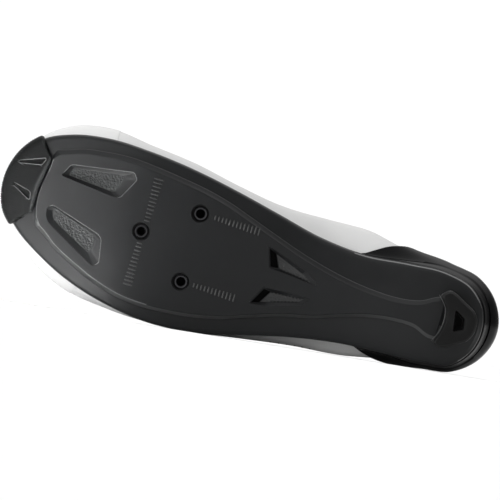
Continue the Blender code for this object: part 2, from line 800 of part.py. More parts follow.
def bolt_cutter(name, place, parent):
    """The hole for one cleat bolt: a shallow recess, a bore and a seat for the insert's flange."""
    under, bed = bolt_levels(place)
    bore = INSERT_RADIUS + CLEARANCE
    flange = INSERT_FLANGE + CLEARANCE
    seat = bed - INSERT_FLANGE_THICKNESS - 2 * CLEARANCE
    levels = [
        (RECESS_RADIUS, under - ARCH_HEIGHT),
        (RECESS_RADIUS, under + RECESS_DEPTH),
        (bore, under + RECESS_DEPTH),
        (bore, seat),
        (flange, seat),
        (flange, bed + ARCH_HEIGHT),
    ]
    return disc(f"bolt_hole_{name}", place, levels, parent)


def make_inserts(parent, material):
    """The three threaded inserts that take the cleat's bolts from inside the sole."""
    for name, place in cleat_bolts().items():
        under, bed = bolt_levels(place)
        top = bed - CLEARANCE
        seat = top - INSERT_FLANGE_THICKNESS
        foot = under + 0.7 * RECESS_DEPTH
        section = [
            (INSERT_BORE, foot),
            (INSERT_RADIUS, foot),
            (INSERT_RADIUS, seat),
            (INSERT_FLANGE, seat),
            (INSERT_FLANGE, top),
            (INSERT_BORE, top),
        ]
        turned(f"cleat_insert_{name}", place, section, parent, material)


def guard_feet(foot, margin, under, line):
    """Where the toe guard's rear edge lies on a section of the margin, and the bend in front."""
    stretches = ((under, margin), (margin, foot))
    best, best_gap = None, 1.0
    for number, (start, end) in enumerate(stretches):
        for share in np.linspace(0.06, 0.97, 40):
            spot = start + (end - start) * share
            gap = distance_to_line(spot[:2], line)
            if gap < best_gap:
                best, best_gap = (number, start, spot), gap
    number, start, spot = best
    bend = start if number else (start + spot) / 2
    return spot, bend


def distance_to_line(spot, line):
    """Distance in plan from a point to the nearest stretch of a line of points."""
    gaps = []
    for first, second in zip(line[:-1], line[1:]):
        along = second - first
        t = np.clip(np.dot(spot - first, along) / np.dot(along, along), 0, 1)
        gaps.append(np.linalg.norm(spot - first - along * t))
    return min(gaps)


def guard_stations():
    """The stations that the toe guard covers, from its inner end round the toe to its outer end."""
    outline = sole_outline()
    count = len(outline)
    ends = in_metres([GUARD_REAR[0], GUARD_REAR[-1]])
    first = min(range(count // 2), key=lambda i: abs(outline[i, 0] - ends[0, 0]))
    last = min(range(count // 2, count), key=lambda i: abs(outline[i, 0] - ends[1, 0]))
    return [i % count for i in range(last - count, first + 1)][::-1]


def make_toe_guard(parent, material):
    """The toe guard, which follows the sole from under the toe and laps over onto the upper."""
    loops = base_loops()
    under, side, widest, rim = (loops[name] for name in ("under", "side", "widest", "rim"))
    surface = upper_surface()
    normals = grid_normals(surface)
    plan_out = outward(sole_outline())
    rear_line = in_metres(GUARD_REAR)
    stations = guard_stations()
    sections = []
    for k, i in enumerate(stations):
        bow = math.sin(math.pi * k / (len(stations) - 1)) ** 0.6
        lap = GUARD_LEAST_LAP + (GUARD_LAP - GUARD_LEAST_LAP) * bow
        out = np.array([*plan_out[i], 0.0])
        rear, bend = guard_feet(loops["foot"][i], loops["margin"][i], under[i], rear_line)
        column = surface[:, i]
        seam, _ = wall_at_height(column, normals[:, i], rim[i][2] + CLEARANCE)
        lapped = []
        for part, thick in ((0.35, 1.3), (0.7, 1.1), (1.0, 0.6)):
            spot, way = wall_at_height(column, normals[:, i], rim[i][2] + part * lap)
            lapped.append((spot, not_down(way), thick * GUARD_SIDE))
        followed = [
            (rear, -UP, GUARD_THICKNESS),
            (bend, -UP, GUARD_THICKNESS),
            (under[i], unit(0.45 * out - UP), GUARD_THICKNESS),
            (side[i], unit(out - 0.4 * UP), GUARD_SIDE),
            (widest[i], out, GUARD_SIDE),
            (rim[i] + UP * CLEARANCE, out, GUARD_SIDE),
            (seam, out, GUARD_SIDE + RIM_THICKNESS),
            *lapped,
        ]
        near = [spot + way * SKIN_GAP for spot, way, _ in followed]
        far = [spot + way * (SKIN_GAP + thick) for spot, way, thick in followed]
        sections.append([*near, *far[::-1]])
    size = len(sections[0])
    points = [p for section in sections for p in section]
    faces = []
    for k in range(len(sections) - 1):
        faces.extend(ring_faces(numbers(k * size, size), numbers((k + 1) * size, size)))
    half = size // 2
    for start in (0, (len(sections) - 1) * size):
        for c in range(half - 1):
            faces.append((start + c, start + c + 1, start + size - 2 - c, start + size - 1 - c))
    guard = new_object("toe_guard", mesh_from("toe_guard", points, faces), material, parent)
    for number, (broad, tip) in enumerate(GUARD_GROOVES):
        cutter = groove_cutter(f"groove_{number}", broad, tip, parent)
        apply_boolean(guard, cutter, "DIFFERENCE")
    return guard


def wall_at_height(column, normals, height):
    """Where a column of the upper reaches a height, and its outward normal there."""
    heights = column[:, 2]
    spot = np.array([np.interp(height, heights, column[:, c]) for c in range(3)])
    normal = np.array([np.interp(height, heights, normals[:, c]) for c in range(3)])
    return spot, normal / np.linalg.norm(normal)


def not_down(normal):
    """The direction, made level if it points down."""
    return unit(np.maximum(normal, [-1.0, -1.0, 0.0]))


def groove_cutter(name, broad, tip, parent):
    """Cuts one tapering groove in the underside of the toe guard."""
    start, end = in_metres([broad])[0], in_metres([tip])[0]
    along = (end - start) / np.linalg.norm(end - start)
    across = np.array([-along[1], along[0]]) * GROOVE_WIDTH / 2
    outline = np.array([start + across, start - across, end - 0.15 * across, end + 0.15 * across])
    return prism(
        name,
        outline,
        lambda x: under_height(x) - ARCH_HEIGHT,
        lambda x: margin_height(x, 0.5) - GUARD_THICKNESS + GROOVE_DEPTH,
        parent,
    )


def pad_top(x):
    """Height of the heel pad's upper face, which is let into the sole."""
    return under_height(x) + PAD_SEAT


def make_heel_pad(parent, material):
    """The heel pad: a bevelled rubber block on the floor, with a hole for its screw."""
    outline = rounded(in_metres(PAD_OUTLINE), CORNER_ROUND)
    tread = rounded(offset_corners(in_metres(PAD_OUTLINE), PAD_BEVEL), CORNER_ROUND)
    floor = np.zeros(len(outline))
    loops = [
        raised(tread, floor),
        raised(outline, floor + PAD_BEVEL),
        raised(outline, pad_top(outline[:, 0])),
    ]
    pad = stacked("heel_pad", loops, parent, material)
    hole = rounded(in_metres(PAD_HOLE), 0.5 * CORNER_ROUND)
    cutter = prism("pad_hole", hole, lambda x: np.full(len(x), -PAD_HEIGHT), lambda x: np.full(len(x), PAD_HOLE_DEPTH), parent)
    apply_boolean(pad, cutter, "DIFFERENCE")
    return pad


# Sub-parts of the upper.


def padding(surface):
    """Thickness of the upper's wall at each point, fuller round the ankle."""
    rings, stations = surface.shape[:2]
    height = np.clip((np.arange(rings) - LOWER_RINGS - 1) / UPPER_RINGS, 0, 1)
    place = surface[-1, :, 0] / LENGTH
    ankle = np.clip((0.30 - place) / 0.09, 0, 1)
    full = np.clip((height - 0.35) / 0.35, 0, 1)[:, None] * np.clip((1.0 - height) / 0.12 + 0.35, 0, 1)[:, None]
    return WALL + COLLAR_PADDING * full * ankle[None, :]


def make_upper(parent, material):
    """The hollow upper, open underneath and at the collar and throat."""
    outer = upper_surface()
    inner = outer - grid_normals(outer) * padding(outer)[:, :, None]
    inner[0, :, 2] = outer[0, :, 2]
    kept = [0, *range(1, len(inner) - 1, 2), len(inner) - 1]
    loops = [*outer, *inner[kept][::-1]]
    count = outer.shape[1]
    points = [p for loop in loops for p in loop]
    faces = []
    for k in range(len(loops)):
        first = numbers(k * count, count)
        second = numbers((k + 1) % len(loops) * count, count)
        faces.extend(ring_faces(first, second))
    return new_object("upper", mesh_from("upper", points, faces), material, parent)


def cup_reach(side):
    """How far forward the heel cup reaches on one side of the foot."""
    return CUP_REACH_INNER if side == "inner" else CUP_REACH_OUTER


def cup_trimmer(side, parent):
    """Cuts away what is above the heel cup's top edge and in front of it on one side."""
    reach = cup_reach(side)
    line = hermite([(x * reach, z * CUP_HEIGHT) for x, z in CUP_TOP], (0.0, 0.5), closed=False)
    beyond = [(LENGTH, 0.0), (LENGTH, 2 * UPPER_HEIGHT), (-LENGTH, 2 * UPPER_HEIGHT), (-LENGTH, line[0][1])]
    below = [(reach * 1.02, 0.0)]
    outline = [*line, *below, *beyond]
    middle, away = HEEL_TIP["y"] * BALL_WIDTH, BALL_WIDTH if side == "inner" else -BALL_WIDTH
    across = (middle + away, middle - math.copysign(CUP_THICKNESS, away))
    loops = [[(x, y, z) for x, z in outline] for y in across]
    return stacked(f"cup_trimmer_{side}", loops, parent, None)


def make_heel_cup(parent, material):
    """The stiff cup round the outside of the heel, which stands on the sole's rim."""
    surface = upper_surface()
    normals = grid_normals(surface)
    normals[1] = [not_down(normal) for normal in normals[1]]
    count = surface.shape[1]
    covered = []
    for i in range(count):
        side = "inner" if i < count / 2 else "outer"
        if surface[1, i, 0] < cup_reach(side) * 1.12:
            covered.append(i)
    wall, out = surface[1:CUP_RINGS, covered], normals[1:CUP_RINGS, covered]
    near, far = wall + out * SKIN_GAP, wall + out * (SKIN_GAP + CUP_THICKNESS)
    cup = sheet_solid("heel_cup", far, near, parent, material)
    for side in ("inner", "outer"):
        apply_boolean(cup, cup_trimmer(side, parent), "DIFFERENCE")
    return cup


def sheet_solid(name, top, bottom, parent, material):
    """A closed solid between two grids of points of the same size."""
    rows, columns = top.shape[:2]
    points = [*top.reshape(-1, 3), *bottom.reshape(-1, 3)]
    shift = rows * columns
    faces = []
    for r in range(rows - 1):
        for c in range(columns - 1):
            a, b = r * columns + c, r * columns + c + 1
            d, e = a + columns, b + columns
            faces.append((a, b, e, d))
            faces.append((a + shift, d + shift, e + shift, b + shift))
    border = [c for c in range(columns)]
    border += [r * columns + columns - 1 for r in range(1, rows)]
    border += [(rows - 1) * columns + c for c in range(columns - 2, -1, -1)]
    border += [r * columns for r in range(rows - 2, 0, -1)]
    for first, second in zip(border, [*border[1:], border[0]]):
        faces.append((first, second, second + shift, first + shift))
    return new_object(name, mesh_from(name, points, faces), material, parent)


def bridge_points(surface, row, steps):
    """Points across the throat from the inner edge to the outer, carrying on the two walls."""
    inner = at_station(surface, station_place(row, True))
    outer = at_station(surface, station_place(row, False))
    span = np.linalg.norm(inner[-1] - outer[-1])
    handle_inner = inner[-1] + unit(inner[-1] - inner[-2]) * span * 0.36
    handle_outer = outer[-1] + unit(outer[-1] - outer[-2]) * span * 0.36
    return [bezier(inner[-1], handle_inner, handle_outer, outer[-1], t) for t in steps]


def unit(vector):
    """The vector at length one."""
    return vector / np.linalg.norm(vector)


def patch_normals(grid):
    """Unit normals of an open grid, pointing up where it is level."""
    along = np.gradient(grid, axis=0)
    across = np.gradient(grid, axis=1)
    normals = np.cross(along, across)
    normals /= np.linalg.norm(normals, axis=2)[:, :, None]
    return normals if normals[..., 2].sum() > 0 else -normals


def make_strap(row, parent, material):
    """A closing strap that lies on the upper and crosses the throat."""
    name, place, lean, inner_end, outer_end = row
    cover = instep_cover(upper_surface())
    angles = np.radians(np.linspace(inner_end, -outer_end, 21))
    grid = []
    for share in np.linspace(-0.5, 0.5, 5):
        line = []
        for angle in angles:
            forward = lean * LENGTH * (angle / angles[0]) ** 2
            start = Vector((place * LENGTH + share * STRAP_WIDTH + forward, 0.0, STRAP_AXIS))
            hit = cover.ray_cast(start, Vector((0.0, math.sin(angle), math.cos(angle))))[0]
            line.append(np.array(hit))
        grid.append(line)
    grid = np.array(grid)
    normals = patch_normals(grid)
    gap = SKIN_GAP + 0.5 * CLEARANCE
    under, over = grid + normals * gap, grid + normals * (gap + STRAP_THICKNESS)
    return sheet_solid(name, over, under, parent, material)


def make_tongue(parent, material):
    """The tongue, which lies under the throat's edges and stands out above the collar."""
    surface = upper_surface()
    cover = instep_cover(surface)
    rows, columns = 15, 8
    front = THROAT_END["x"] * LENGTH + 0.05 * LENGTH
    last_covered = OPENING[6][0] * LENGTH + 0.03 * LENGTH
    middle_front, middle_rear = THROAT_END["y"] * BALL_WIDTH, -0.02 * BALL_WIDTH
    top, bottom = [], []
    for r in range(rows + 1):
        share = r / rows
        x = front - TONGUE_LENGTH * share
        middle = middle_front + (middle_rear - middle_front) * min(1.0, (front - x) / (front - last_covered))
        half = TONGUE_WIDTH / 2 * tongue_shape(share)
        upper_row, lower_row = [], []
        for c in range(columns + 1):
            side = 2 * c / columns - 1
            seen_x = max(x, last_covered)
            height, normal = cover_point(cover, seen_x, middle + side * half)
            beyond = last_covered - x if x < last_covered else 0.0
            slope = 0.36
            spot = np.array([x, middle + side * half, height + beyond * slope])
            depth = WALL + TONGUE_GAP
            upper_row.append(spot - normal * depth)
            lower_row.append(spot - normal * (depth + TONGUE_THICKNESS))
        top.append(upper_row)
        bottom.append(lower_row)
    return sheet_solid("tongue", np.array(top), np.array(bottom), parent, material)


def tongue_shape(share):
    """Half-width of the tongue along its length, as a share, with both ends rounded."""
    known_at = [0.0, 0.08, 0.30, 0.62, 0.70, 0.80, 0.93, 1.0]
    return float(np.interp(share, known_at, [0.55, 0.72, 0.90, 0.92, 0.82, 0.62, 0.60, 0.45]))


def instep_cover(surface):
    """The upper's outer surface with the throat covered over, for measuring from above."""
    rings, count = surface.shape[:2]
    points = [tuple(p) for p in surface.reshape(-1, 3)]
    faces = []
    for r in range(rings - 1):
        for i in range(count):
            j = (i + 1) % count
            faces.append((r * count + i, r * count + j, (r + 1) * count + j, (r + 1) * count + i))
    steps = np.linspace(0, 1, 9)
    rows = np.linspace(7.0, len(PLAN) + 1.0, 25)
    start = len(points)
    for row in rows:
        points.extend(tuple(p) for p in bridge_points(surface, min(row, len(PLAN) + 0.999), steps))
    for r in range(len(rows) - 1):
        for c in range(len(steps) - 1):
            a = start + r * len(steps) + c
            faces.append((a, a + 1, a + 1 + len(steps), a + len(steps)))
    return BVHTree.FromPolygons(points, faces)


def cover_point(cover, x, y):
    """Height and upward normal of the covered upper over a plan point."""
    hit, normal, _, _ = cover.ray_cast(Vector((x, y, 1.0)), Vector((0, 0, -1)))
    if hit is None:
        raise ValueError("the tongue reaches past the upper: make it narrower")
    normal = np.array(normal if normal.z > 0 else -normal)
    return hit.z, normal


def make_insole(parent, material):
    """The insole, a thin cupped pad on the sole's bed inside the upper."""
    foot = inset(sole_outline(), RIM_THICKNESS + CLEARANCE + WALL + 3 * CLEARANCE)
    shrunk = centred(foot, 0.80)

    def under(points):
        return bed_under(points) + SKIN_GAP

    def over(points):
        return bed_under(points) + SKIN_GAP + INSOLE_THICKNESS

    loops = [
        raised(shrunk, under(shrunk)),
        raised(foot, under(foot) + CLEARANCE),
        raised(foot, under(foot) + 0.5 * INSOLE_THICKNESS),
        raised(shrunk, over(shrunk)),
    ]
    mesh = loops_to_mesh("insole", loops, cross_fill(under), cross_fill(over))
    return new_object("insole", mesh, material, parent)


# Laying the shoe down.


def evaluated_points(item, graph):
    """Points and triangles of an object as the viewport shows it, in its parent's space."""
    evaluated = item.evaluated_get(graph)
    mesh = evaluated.to_mesh()
    mesh.calc_loop_triangles()
    points = np.array([v.co for v in mesh.vertices], float).reshape(-1, 3)
    triangles = np.array([t.vertices for t in mesh.loop_triangles], int).reshape(-1, 3)
    evaluated.to_mesh_clear()
    return points, triangles


def weight_centre(pieces):
    """Centre of mass of the pieces, each a name of a density, points and triangles."""
    total, moment = 0.0, np.zeros(3)
    for kind, points, triangles in pieces:
        corners = points[triangles]
        volumes = np.einsum("ij,ij->i", corners[:, 0], np.cross(corners[:, 1], corners[:, 2])) / 6
        middles = corners.sum(axis=1) / 4
        total += DENSITY[kind] * volumes.sum()
        moment += DENSITY[kind] * (volumes[:, None] * middles).sum(axis=0)
    return moment / total


def resting_face(points, centre):
    """Normal of the hull's face on which the shoe rests when it lies on its outer side."""
    work = bmesh.new()
    for p in points:
        work.verts.new(tuple(p))
    hull = bmesh.ops.convex_hull(work, input=work.verts)
    best, best_side = None, -2.0
    for item in hull["geom"]:
        if not isinstance(item, bmesh.types.BMFace) or item.calc_area() < 1e-9:
            continue
        normal = np.array(item.normal)
        corner = np.array(item.verts[0].co)
        if np.dot(normal, corner - centre) < 0:
            normal = -normal
        foot = centre + normal * np.dot(normal, corner - centre)
        corners = [np.array(v.co) for v in item.verts]
        turns = [
            np.dot(np.cross(b - a, foot - a), np.array(item.normal))
            for a, b in zip(corners, [*corners[1:], corners[0]])
        ]
        inside = all(t > 0 for t in turns) or all(t < 0 for t in turns)
        if inside and -normal[1] > best_side:
            best, best_side = normal, -normal[1]
    work.free()
    return best


def lay_down(shoe, kinds):
    """Turns the shoe onto its outer side and centres it over the floor."""
    bpy.context.view_layer.update()
    graph = bpy.context.evaluated_depsgraph_get()
    pieces = []
    for name, kind in kinds.items():
        points, triangles = evaluated_points(bpy.data.objects[name], graph)
        pieces.append((kind, points, triangles))
    cloud = np.vstack([points for _, points, _ in pieces])
    down = resting_face(cloud, weight_centre(pieces))
    forward = np.array([1.0, 0.0, 0.0])
    forward -= down * np.dot(forward, down)
    forward = unit(forward)
    third = np.cross(-down, forward)
    # The rows turn the shoe's forward, third and up directions into -X, -Y and +Z.
    turn = Matrix(np.array([-forward, -third, -down]).tolist()).to_4x4()
    laid = cloud @ np.array(turn.to_3x3()).T
    low, high = laid.min(axis=0), laid.max(axis=0)
    middle = (low + high) / 2
    shift = Matrix.Translation((-middle[0], -middle[1], -low[2]))
    shoe.matrix_world = shift @ turn
    bpy.context.view_layer.update()


def main():
    """Builds every piece of the shoe and lays it down."""
    for old in list(bpy.data.objects):
        bpy.data.objects.remove(old, do_unlink=True)
    carbon = make_material("carbon_composite", (0.022, 0.023, 0.024), 0.42)
    rubber = make_material("rubber", (0.016, 0.017, 0.018), 0.62)
    metal = make_material("insert_metal", (0.10, 0.10, 0.105), 0.35, 1.0)
    microfibre = make_material("white_microfibre", (0.78, 0.78, 0.78), 0.55)
    glossy = make_material("heel_cup_plastic", (0.010, 0.010, 0.011), 0.18)
    mesh_cloth = make_material("tongue_cloth", (0.62, 0.62, 0.63), 0.80)
    foam = make_material("insole_foam", (0.05, 0.05, 0.055), 0.90)
    shoe = bpy.data.objects.new("shoe", None)
    bpy.context.scene.collection.objects.link(shoe)
    make_sole(shoe, carbon)
    make_toe_guard(shoe, rubber)
    make_heel_pad(shoe, rubber)
    make_inserts(shoe, metal)
    make_upper(shoe, microfibre)
    make_heel_cup(shoe, glossy)
    make_tongue(shoe, mesh_cloth)
    for row in STRAPS:
        make_strap(row, shoe, microfibre)
    make_insole(shoe, foam)
    kinds = {"sole": "sole", "toe_guard": "rubber", "heel_pad": "rubber", "upper": "upper"}
    kinds.update({"heel_cup": "shell", "tongue": "upper", "insole": "foam"})
    kinds.update({f"cleat_insert_{name}": "metal" for name in cleat_bolts()})
    kinds.update({row[0]: "upper" for row in STRAPS})
    lay_down(shoe, kinds)


main()
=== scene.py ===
"""Fine model of the road cycling shoe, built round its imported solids.

Every piece is worked out in the shoe's own frame, where X runs from the heel to the toe, Y towards
the inner side of the foot and Z up from the ground. It is then laid on its outer side with the
matrix that the solids were laid down with. Lengths are in metres, and tables hold shares of them.
"""

import logging
import math
from dataclasses import dataclass
from enum import Enum, IntEnum
from functools import cached_property
from typing import Callable, Sequence

import bmesh
import bpy
import numpy as np
from mathutils import Matrix, Vector
from mathutils.bvhtree import BVHTree


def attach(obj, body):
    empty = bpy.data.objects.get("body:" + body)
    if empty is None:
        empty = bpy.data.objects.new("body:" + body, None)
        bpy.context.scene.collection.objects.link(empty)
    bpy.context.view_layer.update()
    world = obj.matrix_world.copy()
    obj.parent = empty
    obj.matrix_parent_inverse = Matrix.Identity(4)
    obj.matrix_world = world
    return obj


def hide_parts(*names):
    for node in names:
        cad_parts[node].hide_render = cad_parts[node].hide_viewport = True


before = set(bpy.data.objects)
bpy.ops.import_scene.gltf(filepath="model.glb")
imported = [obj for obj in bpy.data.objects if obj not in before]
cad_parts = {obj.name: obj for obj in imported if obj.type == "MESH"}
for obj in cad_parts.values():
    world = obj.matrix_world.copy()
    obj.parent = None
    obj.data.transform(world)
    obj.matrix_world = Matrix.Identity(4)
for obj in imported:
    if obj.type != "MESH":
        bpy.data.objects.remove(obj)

LOG = logging.getLogger("shoe")
MM = 0.001
BODY = "root"
UP = np.array([0.0, 0.0, 1.0])

# Where the solids lie: the shoe's frame in the row's frame.
SHOE_TO_WORLD = Matrix(
    (
        (-0.9924048, 0.1228853, 0.0056471, 0.1410644),
        (0.0, -0.0459056, 0.9989458, -0.0457612),
        (0.1230150, 0.9913586, 0.0455569, 0.0249759),
        (0.0, 0.0, 0.0, 1.0),
    )
)

# Plan of the sole from heel to toe. x is a share of the length, the rest of the ball width.
PLAN_COLUMNS = ("x", "inner", "outer", "inner_overhang", "outer_overhang")
HEEL_TIP = {"x": 0.0302, "y": -0.005, "overhang": 0.060}
TOE_TIP = {"x": 0.9905, "y": 0.070, "overhang": -0.030}
PLAN = [
    (0.0415, 0.124, -0.154, 0.050, 0.040),
    (0.0710, 0.217, -0.249, 0.038, 0.022),
    (0.1250, 0.261, -0.281, 0.028, 0.022),
    (0.2000, 0.250, -0.293, 0.058, 0.042),
    (0.2850, 0.224, -0.309, 0.132, 0.075),
    (0.3750, 0.246, -0.352, 0.108, 0.057),
    (0.4700, 0.311, -0.418, 0.045, 0.030),
    (0.5600, 0.374, -0.477, 0.026, 0.008),
    (0.6500, 0.425, -0.496, 0.030, 0.005),
    (0.7400, 0.454, -0.463, 0.031, 0.028),
    (0.8200, 0.458, -0.399, 0.052, 0.056),
    (0.8900, 0.422, -0.304, 0.044, 0.052),
    (0.9450, 0.346, -0.200, 0.010, 0.012),
    (0.9770, 0.228, -0.100, -0.022, -0.020),
]

# Side view: shares of the arch height, the sole's thickness, the plate's step, the margin's rise
# and the upper's height.
PROFILE_COLUMNS = ("x", "under", "thick", "step", "rise", "widest")
PROFILE = [
    (0.0000, 0.72, 0.72, 0.12, 0.60, 0.42),
    (0.0700, 0.62, 0.79, 0.20, 0.65, 0.42),
    (0.1250, 0.62, 0.94, 0.35, 0.80, 0.43),
    (0.2000, 0.73, 1.08, 0.75, 0.95, 0.45),
    (0.2850, 0.92, 1.08, 1.00, 1.05, 0.48),
    (0.3750, 1.00, 1.02, 1.00, 1.05, 0.49),
    (0.4700, 0.80, 0.95, 0.85, 0.95, 0.43),
    (0.5600, 0.38, 0.88, 0.65, 0.80, 0.32),
    (0.6300, 0.09, 0.84, 0.55, 0.72, 0.265),
    (0.6800, 0.00, 0.83, 0.50, 0.68, 0.250),
    (0.7350, 0.00, 0.83, 0.48, 0.68, 0.250),
    (0.8200, 0.28, 0.83, 0.42, 0.68, 0.265),
    (0.8900, 0.62, 0.83, 0.38, 0.66, 0.300),
    (0.9450, 0.94, 0.80, 0.32, 0.62, 0.335),
    (1.0000, 1.30, 0.72, 0.15, 0.60, 0.365),
]

# Edge of the collar and throat, a row for each row of the plan, with its slope in degrees.
OPENING_COLUMNS = ("x", "inner", "outer", "inner_height", "outer_height", "lean")
HEEL_TOP = {"x": 0.0290, "y": -0.005, "height": 0.945, "lean": 80.0}
THROAT_END = {"x": 0.6760, "y": 0.040, "height": 0.650, "lean": 15.0}
OPENING = [
    (0.0370, 0.095, -0.112, 0.935, 0.930, 80.0),
    (0.0640, 0.172, -0.196, 0.890, 0.870, 80.0),
    (0.1180, 0.228, -0.256, 0.795, 0.755, 80.0),
    (0.1850, 0.248, -0.283, 0.735, 0.690, 80.0),
    (0.2550, 0.250, -0.290, 0.735, 0.695, 78.0),
    (0.3250, 0.222, -0.262, 0.800, 0.775, 72.0),
    (0.3900, 0.160, -0.212, 0.915, 0.895, 62.0),
    (0.4450, 0.128, -0.168, 0.900, 0.885, 50.0),
    (0.5050, 0.122, -0.132, 0.838, 0.830, 41.0),
    (0.5680, 0.120, -0.098, 0.765, 0.760, 33.0),
    (0.6200, 0.116, -0.066, 0.705, 0.702, 26.0),
    (0.6540, 0.098, -0.030, 0.668, 0.668, 20.0),
    (0.6710, 0.072, 0.006, 0.654, 0.654, 16.0),
    (0.6750, 0.056, 0.024, 0.650, 0.650, 15.0),
]

# Sides of the raised plate.
PLATE = [
    (0.1053, 0.120, -0.126),
    (0.1263, 0.115, -0.131),
    (0.1579, 0.066, -0.097),
    (0.2000, 0.042, -0.095),
    (0.2456, 0.042, -0.115),
    (0.2947, 0.057, -0.156),
    (0.3509, 0.089, -0.215),
    (0.4105, 0.138, -0.255),
    (0.4702, 0.199, -0.313),
    (0.5193, 0.251, -0.362),
    (0.5684, 0.301, -0.394),
    (0.6211, 0.339, -0.412),
    (0.6737, 0.363, -0.418),
    (0.7228, 0.381, -0.405),
    (0.7719, 0.391, -0.366),
    (0.8246, 0.379, -0.301),
    (0.8702, 0.354, -0.232),
    (0.8900, 0.332, -0.189),
    (0.9130, 0.310, -0.145),
]

# How far the plate's front end runs on under the guard: places from its inner end, and shares of the length.
PLATE_FRONT = ((0.0, 0.06, 0.18, 0.50, 0.68, 0.86, 1.0), (0.0, 0.0040, 0.0052, 0.0122, 0.0122, 0.0075, 0.0))

# Rear edge of the toe guard, and the outline of the heel pad.
GUARD_REAR = [(0.9430, 0.330), (0.9190, 0.285), (0.9190, 0.240), (0.9270, 0.085), (0.9280, -0.092), (0.9570, -0.150)]
PAD_OUTLINE = [
    (0.1275, 0.130),
    (0.1110, 0.173),
    (0.0980, 0.163),
    (0.0540, 0.094),
    (0.0440, 0.050),
    (0.0435, -0.032),
    (0.0530, -0.085),
    (0.0950, -0.157),
    (0.1080, -0.163),
    (0.1175, -0.140),
    (0.1080, -0.075),
    (0.1050, -0.005),
    (0.1090, 0.065),
]

# Top edge of the heel cup: shares of its reach and of its height.
CUP_TOP = [(0.0, 1.0), (0.2, 0.985), (0.4, 0.9), (0.6, 0.76), (0.75, 0.635), (0.87, 0.57), (0.95, 0.52), (1.0, 0.46)]

# Sections of the sole's moulded forms, as shares: the bevel's width and fall, the margin's width, and
# the width and height of the rim's top.
BEVEL_STEPS = [(-0.16, 0.0), (-0.05, 0.012), (0.05, 0.075), (0.16, 0.19), (0.5, 0.5)]
BEVEL_STEPS += [(0.84, 0.81), (0.95, 0.925), (1.06, 0.985), (1.2, 1.0)]
MARGIN_STEPS = (0.14, 0.3, 0.46, 0.62, 0.78, 0.92)
RIM_STEPS = ((0.0, 0.93), (0.12, 0.985), (0.35, 1.0), (0.75, 1.0), (1.0, 0.97))

# Sections of a pocket: the lip's turns in degrees, then the wall's way in and down as shares.
LIP_TURNS = (20.0, 32.0, 50.0, 70.0, 90.0)
WALL_STEPS = ((0.35, 0.38), (0.7, 0.72), (0.92, 0.93), (1.0, 0.985), (1.05, 1.0))

# Section of the heel pad's edge: how far it is drawn in and how high it stands, as shares of its bevel.
PAD_STEPS = ((1.0, 0.0), (0.86, 0.03), (0.70, 0.16), (0.22, 0.80), (0.08, 1.05), (0.0, 1.5))

# The tongue's width from its front end to its top: places along it, and shares of its full width.
TONGUE_SHAPE = ((0.0, 0.08, 0.30, 0.62, 0.70, 0.80, 0.93, 1.0), (0.55, 0.72, 0.90, 0.92, 0.82, 0.62, 0.60, 0.45))

Points = np.ndarray
Heights = Callable[[Points], np.ndarray]
RingPair = Callable[[np.ndarray], tuple[np.ndarray, np.ndarray]]


# Curves and small sums.


def cubic(start: Points, begin: Points, end: Points, finish: Points, t: float) -> Points:
    """Point of the cubic curve between two ends, with the tangents begin and finish."""
    low, high = (2 * t**3 - 3 * t**2 + 1) * start, (3 * t**2 - 2 * t**3) * end
    return low + (t**3 - 2 * t**2 + t) * begin + high + (t**3 - t**2) * finish


def hermite(points: Sequence, fractions: Sequence[float], closed: bool) -> Points:
    """Points of a smooth curve through the given ones.

    Args:
        points: The points to pass through.
        fractions: The places on each stretch between two of them.
        closed: Whether the curve returns to its start.

    Returns:
        The curve's points in order.
    """
    points = np.asarray(points, float)
    if closed:
        around = np.vstack([points[-1:], points, points[:2]])
    else:
        around = np.vstack([2 * points[:1] - points[1:2], points, 2 * points[-1:] - points[-2:-1]])
    reach = np.linalg.norm(np.diff(around, axis=0), axis=1)[:, None]
    slope = np.diff(around, axis=0) / reach
    before, after = reach[:-1], reach[1:]
    tangent = (slope[:-1] * after + slope[1:] * before) / (before + after)
    start, end, span = around[1:-2], around[2:-1], reach[1:-1]
    begin, finish = tangent[:-1] * span, tangent[1:] * span
    made = [cubic(start, begin, end, finish, t) for t in fractions]
    curve = np.stack(made, axis=1).reshape(-1, points.shape[1])
    return curve if closed else np.vstack([curve, points[-1:]])


def smooth_value(at: np.ndarray, known_at: Sequence[float], values: Sequence[float]) -> np.ndarray:
    """Value of the smooth curve through known values.

    Args:
        at: Where the value is wanted.
        known_at: The rising places of the known values.
        values: The known values.

    Returns:
        One value for each place.
    """
    known_at, values = np.asarray(known_at, float), np.asarray(values, float)
    gaps = np.diff(known_at)
    slopes = np.diff(values) / gaps
    inner = (slopes[:-1] * gaps[1:] + slopes[1:] * gaps[:-1]) / (gaps[:-1] + gaps[1:])
    tangents = np.concatenate([slopes[:1], inner, slopes[-1:]])
    at = np.clip(at, known_at[0], known_at[-1])
    i = np.clip(np.searchsorted(known_at, at, side="right") - 1, 0, len(gaps) - 1)
    t = (at - known_at[i]) / gaps[i]
    return cubic(values[i], gaps[i] * tangents[i], values[i + 1], gaps[i] * tangents[i + 1], t)


def bezier(start: Points, first: Points, second: Points, end: Points, t: float) -> Points:
    """Point of a cubic curve."""
    return (1 - t) ** 3 * start + 3 * (1 - t) ** 2 * t * first + 3 * (1 - t) * t**2 * second + t**3 * end


def unit(vector: Points) -> Points:
    """The vector, or each vector of a row, at length one."""
    return vector / np.linalg.norm(vector, axis=-1, keepdims=True)


def raised(outline: Points, heights: np.ndarray) -> Points:
    """Plan points given a height each."""
    return np.column_stack([outline, np.broadcast_to(heights, len(outline))])


